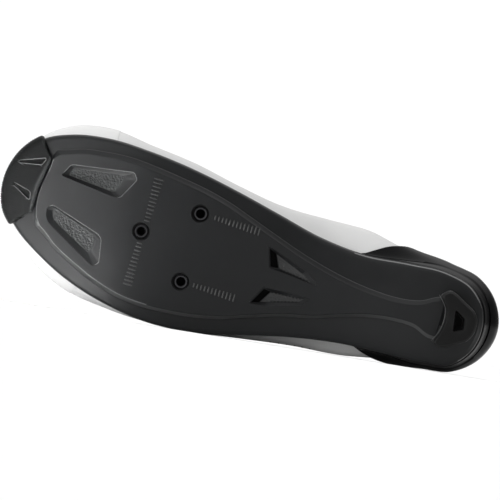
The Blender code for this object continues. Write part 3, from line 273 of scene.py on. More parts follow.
def outward(outline: Points) -> Points:
    """Unit vectors that point out of a closed outline in plan.

    Args:
        outline: The outline's points in order.

    Returns:
        A vector for each point.
    """
    along = np.roll(outline, -1, axis=0) - np.roll(outline, 1, axis=0)
    normal = unit(np.column_stack([along[:, 1], -along[:, 0]]))
    return normal if np.sum(normal * (outline - outline.mean(axis=0))) > 0 else -normal


def inset(outline: Points, distance: np.ndarray) -> Points:
    """The outline moved inwards by a distance, or by one for each point."""
    return outline - outward(outline) * np.reshape(distance, (-1, 1))


def rounded(corners: Sequence, radius: float, steps: int = 6) -> Points:
    """A closed polygon in plan with each corner turned into a short arc.

    Args:
        corners: The polygon's corners.
        radius: How far from each corner the arc starts, at most.
        steps: The number of stretches in each arc.

    Returns:
        The rounded polygon's points.
    """
    corners = np.asarray(corners, float)
    made = []
    for before, corner, after in zip(np.roll(corners, 1, 0), corners, np.roll(corners, -1, 0)):
        back, ahead = before - corner, after - corner
        reach = min(radius, 0.45 * np.linalg.norm(back), 0.45 * np.linalg.norm(ahead))
        start, end = corner + unit(back) * reach, corner + unit(ahead) * reach
        for t in np.arange(steps + 1) / steps:
            made.append((1 - t) ** 2 * start + 2 * (1 - t) * t * corner + t**2 * end)
    return np.array(made)


def offset_corners(corners: Sequence, distance: float) -> Points:
    """The corners of a polygon moved so that each side shifts inwards.

    Args:
        corners: The polygon's corners in order.
        distance: How far each side shifts, below 0 for outwards.

    Returns:
        The new corners.
    """
    corners = np.asarray(corners, float)
    sides = np.roll(corners, -1, axis=0) - corners
    area = np.sum(corners[:, 0] * sides[:, 1] - corners[:, 1] * sides[:, 0])
    facing = 1.0 if area > 0 else -1.0
    made = []
    for i, corner in enumerate(corners):
        before, after = unit(sides[i - 1]), unit(sides[i])
        left = facing * np.array([-before[1], before[0]])
        other = facing * np.array([-after[1], after[0]])
        made.append(corner + (left + other) * distance / (1 + np.dot(left, other)))
    return np.array(made)


def distances(line: Points) -> np.ndarray:
    """How far along a line each of its points lies."""
    return np.concatenate([[0.0], np.cumsum(np.linalg.norm(np.diff(line, axis=0), axis=1))])


def rows_at(at: np.ndarray, known_at: np.ndarray, rows: Points) -> Points:
    """The rows at places between known ones, or one row at one place."""
    return np.stack([np.interp(at, known_at, rows[:, c]) for c in range(rows.shape[1])], axis=-1)


def fine_path(points: Points, step: float) -> Points:
    """Points set evenly along a line.

    Args:
        points: The line's own points.
        step: About how far apart the new ones are.

    Returns:
        The even points.
    """
    walked = distances(points)
    places = np.linspace(0, walked[-1], max(3, int(walked[-1] / step)))
    return rows_at(places, walked, points)


def edge_spacing(count: int, edge: float) -> np.ndarray:
    """Places from 0 to 1 that stand close together near both ends.

    Args:
        count: The number of even stretches in the middle.
        edge: The share of the whole that each end takes.

    Returns:
        The rising places.
    """
    start = edge * np.array([0.0, 0.08, 0.3, 0.62])
    return np.concatenate([start, np.linspace(edge, 1 - edge, count + 1), 1 - start[::-1]])


def edge_fullness(places: np.ndarray, edge: float) -> np.ndarray:
    """How full a sheet with a round edge is at each place: 0 at its ends and 1 past the edge."""
    near = np.clip(np.minimum(places, 1 - places) / edge, 0, 1)
    return np.sqrt(1 - (1 - near) ** 2)


# The shoe's form.


@dataclass
class ShoeForm:
    """The surfaces that the solids were made from, at any fineness.

    A station is a place round the sole: 0 is the toe tip, and the inner side comes first.
    A ring is a line round the upper: 0 is its foot, and the last is the edge of the opening.
    """

    steps: int = 12
    lower_rings: int = 12
    upper_rings: int = 30
    length: float = 0.285
    ball_width: float = 0.0955
    upper_height: float = 0.090
    arch_height: float = 0.0155
    clearance: float = 0.0003
    skin_gap: float = 0.0006
    sole_thickness: float = 0.0060
    plate_step: float = 0.0032
    plate_bevel: float = 0.0024
    margin_rise: float = 0.0034
    shell_thickness: float = 0.0022
    rim_height: float = 0.0062
    rim_thickness: float = 0.0016
    rim_turn: float = 0.0010
    wall: float = 0.0020
    collar_padding: float = 0.0016

    def profile(self, name: str, x: np.ndarray) -> np.ndarray:
        """A column of the side view at distances from the heel, as a share."""
        column = PROFILE_COLUMNS.index(name)
        return smooth_value(x / self.length, [row[0] for row in PROFILE], [row[column] for row in PROFILE])

    def under(self, x: np.ndarray) -> np.ndarray:
        """Height of the plate's underside."""
        return self.arch_height * self.profile("under", x)

    def under_over(self, points: Points) -> np.ndarray:
        """Height of the plate's underside at plan points."""
        return self.under(points[:, 0])

    def margin(self, x: np.ndarray, out: np.ndarray) -> np.ndarray:
        """Height of the underside beside the plate. out is 0 in the middle and 1 at the edge."""
        rise = self.margin_rise * self.profile("rise", x) * out**2
        return self.under(x) + self.plate_step * self.profile("step", x) + rise

    def rim(self, x: np.ndarray) -> np.ndarray:
        """Height of the top of the sole's rim."""
        return self.margin(x, 1.0) + self.rim_height

    def in_metres(self, shares: Sequence) -> Points:
        """Plan points given as shares of the length and the ball width."""
        return np.array(shares, float) * (self.length, self.ball_width)

    def round_row(self, table: list, names: tuple, inner: str, outer: str, heel: float, toe: float) -> list:
        """One column of a two-sided table as a closed row from the toe tip.

        Args:
            table: The table's rows, from heel to toe.
            names: The names of its columns.
            inner: The column for the inner side.
            outer: The column for the outer side.
            heel: The value at the heel.
            toe: The value at the toe.

        Returns:
            The values in the order of the stations.
        """
        first = [row[names.index(inner)] for row in table]
        second = [row[names.index(outer)] for row in table]
        return [toe, *first[::-1], heel, *second]

    @cached_property
    def fractions(self) -> np.ndarray:
        """The places between two rows of a table."""
        return np.arange(self.steps) / self.steps

    @cached_property
    def outline(self) -> Points:
        """The sole's outline in plan."""
        x = self.round_row(PLAN, PLAN_COLUMNS, "x", "x", HEEL_TIP["x"], TOE_TIP["x"])
        y = self.round_row(PLAN, PLAN_COLUMNS, "inner", "outer", HEEL_TIP["y"], TOE_TIP["y"])
        return hermite(self.in_metres(np.column_stack([x, y])), self.fractions, closed=True)

    def side_share(self, points: Points) -> np.ndarray:
        """How far plan points are from the sole's middle line.

        Args:
            points: The points in plan.

        Returns:
            0 on the middle line and 1 at the edge, for each point.
        """
        half = len(self.outline) // 2
        inner = self.outline[: half + 1][::-1]
        outer = np.vstack([self.outline[half:], self.outline[:1]])
        high = np.interp(points[:, 0], inner[:, 0], inner[:, 1])
        low = np.interp(points[:, 0], outer[:, 0], outer[:, 1])
        return np.clip(np.abs(2 * (points[:, 1] - low) / (high - low) - 1), 0, 1)

    def margin_over(self, points: Points) -> np.ndarray:
        """Height of the underside beside the plate at plan points."""
        return self.margin(points[:, 0], self.side_share(points))

    def bed_over(self, points: Points) -> np.ndarray:
        """Height of the sole's upper face.

        Args:
            points: The points in plan.

        Returns:
            A height for each point.
        """
        x, out = points[:, 0], self.side_share(points)
        middle = self.under(x) + self.sole_thickness * self.profile("thick", x)
        edge = self.margin(x, 1.0) + self.shell_thickness
        return middle + (edge - middle) * out**3

    @cached_property
    def widest_line(self) -> Points:
        """The upper's widest line in space."""
        overhang = self.round_row(
            PLAN, PLAN_COLUMNS, "inner_overhang", "outer_overhang", HEEL_TIP["overhang"], TOE_TIP["overhang"]
        )
        places = np.arange(len(self.outline)) / self.steps
        reach = smooth_value(places, np.arange(len(overhang) + 1), [*overhang, overhang[0]])
        line = inset(self.outline, -reach * self.ball_width)
        return raised(line, self.profile("widest", line[:, 0]) * self.upper_height)

    @cached_property
    def foot_line(self) -> Points:
        """The upper's lower edge, which stands on the sole inside its rim."""
        heights = self.margin(self.outline[:, 0], 1.0) + self.shell_thickness + self.clearance
        return raised(inset(self.outline, self.rim_thickness + self.clearance), heights)

    @cached_property
    def surface(self) -> np.ndarray:
        """The upper's outer surface: ring, station, xyz."""
        columns = (OPENING, OPENING_COLUMNS)
        x = self.round_row(*columns, "x", "x", HEEL_TOP["x"], THROAT_END["x"])
        y = self.round_row(*columns, "inner", "outer", HEEL_TOP["y"], THROAT_END["y"])
        z = self.round_row(*columns, "inner_height", "outer_height", HEEL_TOP["height"], THROAT_END["height"])
        lean = self.round_row(*columns, "lean", "lean", HEEL_TOP["lean"], THROAT_END["lean"])
        scale = (self.length, self.ball_width, self.upper_height)
        edge = hermite(np.column_stack([x, y, z]) * scale, self.fractions, closed=True)
        places = np.arange(len(edge)) / self.steps
        slopes = np.radians(smooth_value(places, np.arange(len(lean) + 1), [*lean, lean[0]]))
        foot, widest = self.foot_line, self.widest_line
        level = (edge - widest) * (1, 1, 0)
        direction = unit(level) * np.cos(slopes)[:, None] + UP * np.sin(slopes)[:, None]
        rim = foot.copy()
        rim[:, 2] = self.rim(self.outline[:, 0]) + self.clearance
        reach = (widest[:, 2] - rim[:, 2])[:, None]
        rings = [foot]
        for t in np.arange(self.lower_rings) / self.lower_rings:
            rings.append(bezier(rim, rim + UP * 0.35 * reach, widest - UP * 0.35 * reach, widest, t))
        span = np.linalg.norm(edge - widest, axis=1)[:, None]
        steep = np.sin(slopes)[:, None]
        above = widest + UP * span * (0.12 + 0.24 * steep)
        before = edge - direction * span * (0.44 - 0.10 * steep)
        for t in np.arange(self.upper_rings + 1) / self.upper_rings:
            rings.append(bezier(widest, above, before, edge, t))
        return np.array(rings)

    @cached_property
    def normals(self) -> np.ndarray:
        """Outward unit normals of the upper's outer surface."""
        grid = self.surface
        around = np.roll(grid, -1, axis=1) - np.roll(grid, 1, axis=1)
        upward = np.gradient(grid, axis=0)
        normals = unit(np.cross(around, upward))
        return normals if np.sum(normals * (grid - grid.reshape(-1, 3).mean(axis=0))) > 0 else -normals

    def at(self, rings: np.ndarray, stations: np.ndarray, lift: float = 0.0) -> Points:
        """Points of the upper at rings and stations with fractions.

        Args:
            rings: Where to look between the foot, 0, and the edge, 1, past the rim.
            stations: Where to look round the shoe, as a share of the whole way.
            lift: How far off the surface.

        Returns:
            The points, in the shape of the two arrays.
        """
        rows, count = self.surface.shape[:2]
        r = np.clip(1 + np.asarray(rings, float) * (rows - 2), 0, rows - 1 - 1e-6)
        s = np.asarray(stations, float) * count % count
        r0, s0 = r.astype(int), s.astype(int) % count
        s1 = (s0 + 1) % count
        a, b = (r - r0)[..., None], (s - np.floor(s))[..., None]

        def blend(grid: np.ndarray) -> np.ndarray:
            """The grid's value between its four nearest points."""
            low = grid[r0, s0] * (1 - b) + grid[r0, s1] * b
            high = grid[r0 + 1, s0] * (1 - b) + grid[r0 + 1, s1] * b
            return low * (1 - a) + high * a

        return blend(self.surface) + unit(blend(self.normals)) * lift

    def station_at(self, x: float, inner: bool) -> float:
        """Where one side of the outline reaches a distance from the heel.

        Args:
            x: The distance from the heel.
            inner: Whether it is the inner side.

        Returns:
            The share of the way round from the toe tip.
        """
        half = len(self.outline) // 2
        if inner:
            return float(np.interp(-x, -self.outline[: half + 1, 0], np.arange(half + 1))) / len(self.outline)
        side = np.append(self.outline[half:, 0], self.outline[0, 0])
        return float(np.interp(x, side, half + np.arange(len(side)))) / len(self.outline)

    @cached_property
    def padding(self) -> np.ndarray:
        """Thickness of the upper's wall at each ring and station, fuller round the ankle."""
        rings = self.surface.shape[0]
        height = np.clip((np.arange(rings) - self.lower_rings - 1) / self.upper_rings, 0, 1)
        ankle = np.clip((0.30 - self.surface[-1, :, 0] / self.length) / 0.09, 0, 1)
        full = np.clip((height - 0.35) / 0.35, 0, 1) * np.clip((1.0 - height) / 0.12 + 0.35, 0, 1)
        return self.wall + self.collar_padding * full[:, None] * ankle[None, :]

    @cached_property
    def cover(self) -> BVHTree:
        """The outer surface with the throat covered over, for measuring from inside or above."""
        grid = self.surface
        rows, count = grid.shape[:2]
        points = [tuple(p) for p in grid.reshape(-1, 3)]
        faces = []
        for r in range(rows - 1):
            for i in range(count):
                j = (i + 1) % count
                faces.append((r * count + i, r * count + j, (r + 1) * count + j, (r + 1) * count + i))
        steps = np.linspace(0, 1, 13)
        half = count // 2
        start = len(points)
        lines = range(0, int(half * 0.62))
        for line in lines:
            inner, outer = grid[:, max(line, 1)], grid[:, -max(line, 1)]
            span = np.linalg.norm(inner[-1] - outer[-1])
            first = inner[-1] + unit(inner[-1] - inner[-2]) * span * 0.36
            second = outer[-1] + unit(outer[-1] - outer[-2]) * span * 0.36
            points.extend(tuple(bezier(inner[-1], first, second, outer[-1], t)) for t in steps)
        for r in range(len(lines) - 1):
            for c in range(len(steps) - 1):
                a = start + r * len(steps) + c
                faces.append((a, a + 1, a + 1 + len(steps), a + len(steps)))
        return BVHTree.FromPolygons(points, faces)


# Blender's operators.


def select_only(piece: bpy.types.Object) -> None:
    """Leaves one object alone selected and active.

    Args:
        piece: The object.
    """
    bpy.ops.object.select_all(action="DESELECT")
    piece.select_set(True)
    bpy.context.view_layer.objects.active = piece


def apply_modifiers(piece: bpy.types.Object) -> None:
    """Applies every modifier in order.

    Args:
        piece: The object that has them.
    """
    select_only(piece)
    for change in list(piece.modifiers):
        bpy.ops.object.modifier_apply(modifier=change.name)


def tidy_mesh(piece: bpy.types.Object, gap: float = 1e-6) -> None:
    """Merges doubles and turns the faces outwards, in edit mode.

    Args:
        piece: The piece.
        gap: How close points are merged.
    """
    select_only(piece)
    bpy.ops.object.mode_set(mode="EDIT")
    bpy.ops.mesh.select_all(action="SELECT")
    bpy.ops.mesh.remove_doubles(threshold=gap)
    bpy.ops.mesh.dissolve_degenerate(threshold=gap)
    bpy.ops.mesh.normals_make_consistent(inside=False)
    bpy.ops.object.mode_set(mode="OBJECT")
    if signed_volume(piece) < 0:
        bpy.ops.object.mode_set(mode="EDIT")
        bpy.ops.mesh.flip_normals()
        bpy.ops.object.mode_set(mode="OBJECT")


def signed_volume(piece: bpy.types.Object) -> float:
    """The volume inside a closed piece.

    Args:
        piece: The piece.

    Returns:
        The volume, below 0 where the faces point inwards.
    """
    form = bmesh.new()
    form.from_mesh(piece.data)
    volume = form.calc_volume(signed=True)
    form.free()
    return volume


def bevel_all(piece: bpy.types.Object, width: float, segments: int) -> None:
    """Bevels every edge of a small model.

    Args:
        piece: The model.
        width: The bevel's width.
        segments: The number of faces across the bevel.
    """
    select_only(piece)
    bpy.ops.object.mode_set(mode="EDIT")
    bpy.ops.mesh.select_all(action="SELECT")
    bpy.ops.mesh.bevel(offset=width, segments=segments, affect="EDGES")
    bpy.ops.object.mode_set(mode="OBJECT")


def small_cube(width: float, segments: int) -> bpy.types.Object:
    """A cube with sides of one and bevelled edges, to be copied as a rib or a bar.

    Args:
        width: The bevel's width.
        segments: The number of faces across the bevel.

    Returns:
        The new object.
    """
    bpy.ops.object.select_all(action="DESELECT")
    bpy.ops.mesh.primitive_cube_add(size=1.0)
    cube = bpy.context.active_object
    bevel_all(cube, width, segments)
    return cube


def smooth(piece: bpy.types.Object, degrees: float) -> None:
    """Smooth shading, with edges sharper than the angle left sharp."""
    select_only(piece)
    bpy.ops.object.shade_smooth_by_angle(angle=math.radians(degrees))


def grid_piece(name: str, points: np.ndarray) -> bpy.types.Object:
    """A grid primitive whose points are put in place, with its UV map kept.

    Args:
        name: The piece's name.
        points: The places, row by row. Rows or columns that meet are merged.

    Returns:
        The new object.
    """
    rows, columns = points.shape[:2]
    bpy.ops.object.select_all(action="DESELECT")
    bpy.ops.mesh.primitive_grid_add(x_subdivisions=columns - 1, y_subdivisions=rows - 1, size=1.0)
    piece = bpy.context.active_object
    piece.name = piece.data.name = name
    piece.data.vertices.foreach_set("co", points.reshape(-1).astype(np.float32))
    tidy_mesh(piece)
    return piece


def wrapped(outer: np.ndarray, inner: np.ndarray) -> np.ndarray:
    """Rows that run up the outer sheet, down the inner one and back to the start."""
    return np.concatenate([outer, inner[::-1], outer[:1]])


def round_edged(
    name: str,
    base: np.ndarray,
    normals: np.ndarray,
    thickness: np.ndarray,
    rows: np.ndarray,
    columns: np.ndarray,
    edges: tuple[float, float],
) -> bpy.types.Object:
    """A sheet of some thickness on a surface, which thins to a round edge all the way round.

    Args:
        name: The piece's name.
        base: The surface that its underside follows, row by row.
        normals: The surface's unit normals.
        thickness: Its thickness, as a number or one for each point.
        rows: The rows' places from 0 to 1.
        columns: The columns' places from 0 to 1.
        edges: The share of the rows and of the columns that each round edge takes.

    Returns:
        The new object.
    """
    full = np.minimum.outer(edge_fullness(rows, edges[0]), edge_fullness(columns, edges[1]))[..., None]
    depth = np.broadcast_to(np.asarray(thickness, float), base.shape[:2])[..., None]
    top = base + normals * depth * (0.5 + 0.5 * full)
    bottom = base + normals * depth * (0.5 - 0.5 * full)
    return grid_piece(name, wrapped(top, bottom))


def grid_normals(grid: np.ndarray, towards: Points) -> np.ndarray:
    """Unit normals of an open grid, on the side that a direction points to."""
    normals = unit(np.cross(np.gradient(grid, axis=0), np.gradient(grid, axis=1)))
    return normals if np.sum(normals * towards) > 0 else -normals


def loops_piece(name: str, loops: Sequence[Points], patches: Sequence = ()) -> bpy.types.Object:
    """A solid through closed loops, finished by patches of points or by flat ends.

    Args:
        name: The piece's name.
        loops: Loops of the same number of points, from one end to the other.
        patches: Grids of points that fill the ends. With none, each end is one flat face.

    Returns:
        The new object.
    """
    band = np.array([np.vstack([loop, loop[:1]]) for loop in loops])
    piece = grid_piece(name, band)
    if patches:
        join_into(piece, [grid_piece(f"{name}_patch", patch) for patch in patches])
    else:
        fill_holes(piece)
    tidy_mesh(piece, 2e-6)
    return piece


def fill_holes(piece: bpy.types.Object) -> None:
    """Closes each open loop of a mesh with one face.

    Args:
        piece: The piece.
    """
    select_only(piece)
    bpy.ops.object.mode_set(mode="EDIT")
    bpy.ops.mesh.select_all(action="SELECT")
    bpy.ops.mesh.fill_holes(sides=0)
    bpy.ops.object.mode_set(mode="OBJECT")


def join_into(piece: bpy.types.Object, others: Sequence[bpy.types.Object]) -> None:
    """Joins other objects into one.

    Args:
        piece: The object that stays.
        others: The objects that are joined to it, if any.
    """
    if not others:
        return
    select_only(piece)
    for other in others:
        other.select_set(True)
    bpy.ops.object.join()


def cut(piece: bpy.types.Object, cutters: Sequence[bpy.types.Object]) -> None:
    """Cuts pockets out of a piece, and leaves the cutters' finishes on their faces.

    Args:
        piece: The piece.
        cutters: The solids to cut with, which are removed.
    """
    tool = cutters[0]
    join_into(tool, cutters[1:])
    change = piece.modifiers.new("pockets", "BOOLEAN")
    change.operation, change.solver, change.object = "DIFFERENCE", "EXACT", tool
    change.material_mode = "TRANSFER"
    apply_modifiers(piece)
    bpy.data.objects.remove(tool, do_unlink=True)


def spun(name: str, place: Sequence[float], section: Sequence, segments: int = 48) -> bpy.types.Object:
    """A solid spun round an upright axis from a closed section of radius and height.

    Args:
        name: The piece's name.
        place: Where the axis stands in plan.
        section: The section's corners, none on the axis.
        segments: The number of steps round.

    Returns:
        The new object.
    """
    bpy.ops.object.select_all(action="DESELECT")
    bpy.ops.mesh.primitive_circle_add(vertices=len(section), radius=1.0)
    piece = bpy.context.active_object
    piece.name = piece.data.name = name
    for vertex, (radius, height) in zip(piece.data.vertices, section):
        vertex.co = (place[0] + radius, place[1], height)
    bpy.ops.object.mode_set(mode="EDIT")
    bpy.ops.mesh.select_all(action="SELECT")
    bpy.ops.mesh.spin(
        steps=segments, angle=2 * math.pi, center=(place[0], place[1], 0.0), axis=(0.0, 0.0, 1.0), use_auto_merge=True
    )
    bpy.ops.object.mode_set(mode="OBJECT")
    tidy_mesh(piece)
    return piece


def bead(name: str, path: Points, radius: float) -> bpy.types.Object:
    """A thin round bead along an open path, drawn to a point at both ends.

    Args:
        name: The piece's name.
        path: The path's points in space.
        radius: The bead's radius in its middle.

    Returns:
        The new object.
    """
    along = unit(np.gradient(path, axis=0))
    side = unit(np.cross(along, UP))
    above = np.cross(side, along)
    walked = distances(path)
    near = np.minimum(walked, walked[-1] - walked) / (12 * radius)
    full = radius * np.sqrt(np.clip(near, 0, 1))[:, None]
    turns = np.linspace(0, 2 * np.pi, 9)
    return grid_piece(name, np.array([path + (side * math.cos(t) + above * math.sin(t)) * full for t in turns]))


def copies(name: str, model: bpy.types.Object, places: Sequence[Matrix]) -> bpy.types.Object:
    """One object that holds a copy of a small model at each place.

    Args:
        name: The new object's name.
        model: The model, which is removed.
        places: A matrix for each copy.

    Returns:
        The new object.
    """
    count = len(model.data.vertices)
    base = np.empty(count * 3)
    model.data.vertices.foreach_get("co", base)
    base = np.column_stack([base.reshape(-1, 3), np.ones(count)])
    points = np.vstack([base @ np.array(place).T[:, :3] for place in places])
    faces = [tuple(face.vertices) for face in model.data.polygons]
    shifted = [tuple(i + k * count for i in face) for k in range(len(places)) for face in faces]
    mesh = bpy.data.meshes.new(name)
    mesh.from_pydata(points.tolist(), [], shifted)
    made = bpy.data.objects.new(name, mesh)
    bpy.context.scene.collection.objects.link(made)
    bpy.data.objects.remove(model, do_unlink=True)
    smooth(made, 50.0)
    return made


def standing(place: Points, along: Points, normal: Points) -> Matrix:
    """A matrix that puts a model on a surface.

    Args:
        place: Where its origin goes.
        along: The direction of its X.
        normal: The surface's normal, for its Z.

    Returns:
        The matrix.
    """
    x = unit(np.asarray(along, float))
    z = unit(normal - x * np.dot(x, normal))
    return Matrix(np.column_stack([x, np.cross(z, x), z, place]).tolist() + [[0.0, 0.0, 0.0, 1.0]])


# Finishes.


def linear(code: str) -> tuple[float, float, float, float]:
    """An sRGB hex colour as linear red, green, blue and alpha."""
    parts = [int(code[i : i + 2], 16) / 255 for i in (1, 3, 5)]
    return (*[p / 12.92 if p <= 0.04045 else ((p + 0.055) / 1.055) ** 2.4 for p in parts], 1.0)


def add_node(tree: bpy.types.NodeTree, kind: str, settings: dict, values: dict, links: dict) -> bpy.types.Node:
    """Adds a node with its settings, socket values and incoming links.

    Args:
        tree: The material's node tree.
        kind: The node's type.
        settings: Properties of the node.
        values: Values of its sockets, by name or number.
        links: The sockets that feed its own, by name or number.

    Returns:
        The new node.
    """
    node = tree.nodes.new(kind)
    for key, value in settings.items():
        setattr(node, key, value)
    for key, value in values.items():
        node.inputs[key].default_value = value
    for key, source in links.items():
        tree.links.new(source, node.inputs[key])
    return node


class Relief(Enum):
    """The fine relief that a finish has."""

    GRAIN = "grain"
    LEATHER = "leather"
    WEAVE = "weave"
    KNIT = "knit"
    DIMPLE = "dimple"
    NONE = "none"


@dataclass(frozen=True)
class Finish:
    """A material and how its surface was made.

    Attributes:
        name: Its name, for what the real one is.
        colour: Its main colour.
        tint: The colour that it varies to.
        roughness: Its lowest and highest roughness.
        relief: The kind of fine relief.
        pitch: The real size of that relief.
        depth: How deep the relief is.
        metallic: 1 for a bare metal.
        specular: Its specular level.
        sheen: The weight of a soft sheen.
        edge_highlight_colour: The paler colour painted on its sharp convex edges, a painted highlight.
    """

    name: str
    colour: str
    tint: str
    roughness: tuple[float, float]
    relief: Relief = Relief.GRAIN
    pitch: float = 0.0006
    depth: float = 0.00002
    metallic: float = 0.0
    specular: float = 0.5
    sheen: float = 0.0
    edge_highlight_colour: str | None = None

    def material(self) -> bpy.types.Material:
        """Builds the node material, once for each name.

        Returns:
            The material.
        """
        if self.name in bpy.data.materials:
            return bpy.data.materials[self.name]
        made = bpy.data.materials.new(self.name)
        made.use_nodes = True
        tree = made.node_tree
        shader = tree.nodes["Principled BSDF"]
        where = add_node(tree, "ShaderNodeTexCoord", {}, {}, {})
        spot = where.outputs["Object"]
        cloud = add_node(tree, "ShaderNodeTexNoise", {}, {"Scale": 60.0, "Detail": 3.0}, {"Vector": spot})
        mix = add_node(
            tree,
            "ShaderNodeMix",
            {"data_type": "RGBA"},
            {6: linear(self.colour), 7: linear(self.tint)},
            {0: cloud.outputs["Fac"]},
        )
        base = mix.outputs[2]
        # Sharp convex edges get a paler painted highlight.
        if self.edge_highlight_colour:
            base = self.paint_edge_highlight(tree, base)
        tree.links.new(base, shader.inputs["Base Color"])
        rough = add_node(
            tree,
            "ShaderNodeMapRange",
            {},
            {"From Min": 0.3, "From Max": 0.7, "To Min": self.roughness[0], "To Max": self.roughness[1]},
            {"Value": cloud.outputs["Fac"]},
        )
        tree.links.new(rough.outputs["Result"], shader.inputs["Roughness"])
        shader.inputs["Metallic"].default_value = self.metallic
        if self.metallic == 0.0:
            shader.inputs["Specular IOR Level"].default_value = self.specular
        shader.inputs["Sheen Weight"].default_value = self.sheen
        shader.inputs["Sheen Roughness"].default_value = 0.5
        height = self.height(tree, where)
        if height is not None:
            bump = add_node(
                tree, "ShaderNodeBump", {}, {"Strength": 1.0, "Distance": self.depth}, {"Height": height}
            )
            tree.links.new(bump.outputs["Normal"], shader.inputs["Normal"])
        return made

    def paint_edge_highlight(self, tree: bpy.types.NodeTree, base: bpy.types.NodeSocket) -> bpy.types.NodeSocket:
        """Turns the colour paler along the sharp convex edges, as a painted highlight.

        Args:
            tree: The material's node tree.
            base: The colour elsewhere.

        Returns:
            The colour to use.
        """
        form = add_node(tree, "ShaderNodeNewGeometry", {}, {}, {})
        edge = add_node(
            tree,
            "ShaderNodeMapRange",
            {"interpolation_type": "SMOOTHSTEP"},
            {"From Min": 0.515, "From Max": 0.60},
            {"Value": form.outputs["Pointiness"]},
        )
        paler = add_node(
            tree,
            "ShaderNodeMix",
            {"data_type": "RGBA"},
            {7: linear(self.edge_highlight_colour)},
            {0: edge.outputs["Result"], 6: base},
        )
        return paler.outputs[2]

    def height(self, tree: bpy.types.NodeTree, where: bpy.types.Node) -> bpy.types.NodeSocket | None:
        """The socket that carries the relief's height, or None.

        Args:
            tree: The material's node tree.
            where: The node that gives the coordinates.

        Returns:
            The height's socket.
        """
        scale = 1.0 / self.pitch
        spot = where.outputs["Object"]
        if self.relief is Relief.NONE:
            return None
        if self.relief is Relief.GRAIN:
            grain = add_node(tree, "ShaderNodeTexNoise", {}, {"Scale": scale, "Detail": 4.0}, {"Vector": spot})
            return grain.outputs["Fac"]
        if self.relief is Relief.DIMPLE:
            pits = add_node(tree, "ShaderNodeTexVoronoi", {"feature": "F1"}, {"Scale": scale}, {"Vector": spot})
            return pits.outputs["Distance"]
        if self.relief is Relief.LEATHER:
            cells = add_node(
                tree, "ShaderNodeTexVoronoi", {"feature": "SMOOTH_F1"}, {"Scale": scale}, {"Vector": spot}
            )
            fine = add_node(tree, "ShaderNodeTexNoise", {}, {"Scale": 3 * scale, "Detail": 2.0}, {"Vector": spot})
            both = add_node(
                tree,
                "ShaderNodeMath",
                {"operation": "MULTIPLY_ADD"},
                {1: 0.35},
                {0: fine.outputs["Fac"], 2: cells.outputs["Distance"]},
            )
            return both.outputs[0]
        turned = 0.0 if self.relief is Relief.WEAVE else math.radians(45)
        across = []
        for angle in (turned, turned + math.pi / 2):
            spin = add_node(
                tree, "ShaderNodeMapping", {}, {"Rotation": (0.0, angle, 0.0)}, {"Vector": spot}
            )
            wave = add_node(
                tree,
                "ShaderNodeTexWave",
                {"wave_type": "BANDS", "bands_direction": "X"},
                {"Scale": scale / math.pi, "Distortion": 0.6, "Detail": 1.0, "Detail Scale": 2.0},
                {"Vector": spin.outputs["Vector"]},
            )
            across.append(wave.outputs["Fac"])
        both = add_node(tree, "ShaderNodeMath", {"operation": "MULTIPLY"}, {}, {0: across[0], 1: across[1]})
        return both.outputs[0]


# Compression-moulded composite: a satin, almost black skin with a very fine grain from the tool.
COMPOSITE = Finish(
    "moulded_composite", "#131415", "#171819", (0.38, 0.48), pitch=0.0007, depth=0.000012, specular=0.24
)
# The vents' floors are a coarse textile pressed into the mould, drawn 1.2 mm apart, which glints.
VENT_FLOOR = Finish(
    "moulded_vent_floor", "#161818", "#1f2121", (0.36, 0.46), Relief.DIMPLE, 0.0012, 0.00028, specular=0.34
)
# The ducts run on into the sole, where no light reaches, so their ends are black.
DARK_DUCT = Finish("unlit_duct", "#050505", "#080808", (0.75, 0.85), pitch=0.0007, depth=0.00001, specular=0.1)
# The rear vents' floors have the same textile, further from the light.
SHADE_FLOOR = Finish("shaded_vent_floor", "#161717", "#1d1e1e", (0.38, 0.48), Relief.DIMPLE, 0.0012, 0.0002)
# The scale's ribs are smoother than the face that they stand on, and painted paler as a painted highlight.
RIB = Finish("composite_rib_painted_highlight", "#1f2020", "#272828", (0.30, 0.40), depth=0.00001, specular=0.6)
# Near-black composite, painted shade: on the walls of the bolt recesses, on the rim's faces under the heel cup and on
# the small bars in the rear vents. It keeps the tool's rough skin, so it is dull.
PAINTED_SHADE_COMPOSITE = Finish("composite_painted_shade", "#0a0a0b", "#0e0e0f", (0.55, 0.70), pitch=0.0007, depth=0.00001, specular=0.2)
# The plate's bevel is polished in the mould, so it is smoother, and it is painted a shade paler than the faces beside
# it as a painted highlight.
BEVEL = Finish("composite_bevel_painted_highlight", "#2b2c2c", "#333434", (0.30, 0.38), pitch=0.0007, depth=0.00001)
# Painted highlight: the thin edges of the plate and rim, and beads along lips and grooves, are painted a mid grey.
PAINTED_EDGE_HIGHLIGHT = Finish("painted_edge_highlight", "#4c4d4d", "#575858", (0.26, 0.36), depth=0.00001, specular=0.7)
# Moulded rubber is duller than the composite, with a spark-eroded texture. Its sharp convex edges get a paler painted
# highlight.
RUBBER = Finish(
    "moulded_rubber", "#0d0e0e", "#121313", (0.50, 0.62), pitch=0.0005, depth=0.00003, specular=0.12, edge_highlight_colour="#565858"
)
# The heel pad's rubber is a little smoother than the guard's and painted darker than it, as painted shade. Its sharp
# convex edges get a paler painted highlight.
PAD_RUBBER = Finish(
    "heel_rubber_painted_shade", "#0b0b0b", "#0f0f0f", (0.48, 0.60), depth=0.00003, specular=0.15, edge_highlight_colour="#484a4a"
)
# Coated microfibre: nearly white, fine leather-like pores and a soft gloss.
MICROFIBRE = Finish("coated_microfibre", "#d2d2d1", "#cbcbcb", (0.48, 0.60), Relief.LEATHER, 0.0009, 0.00003)
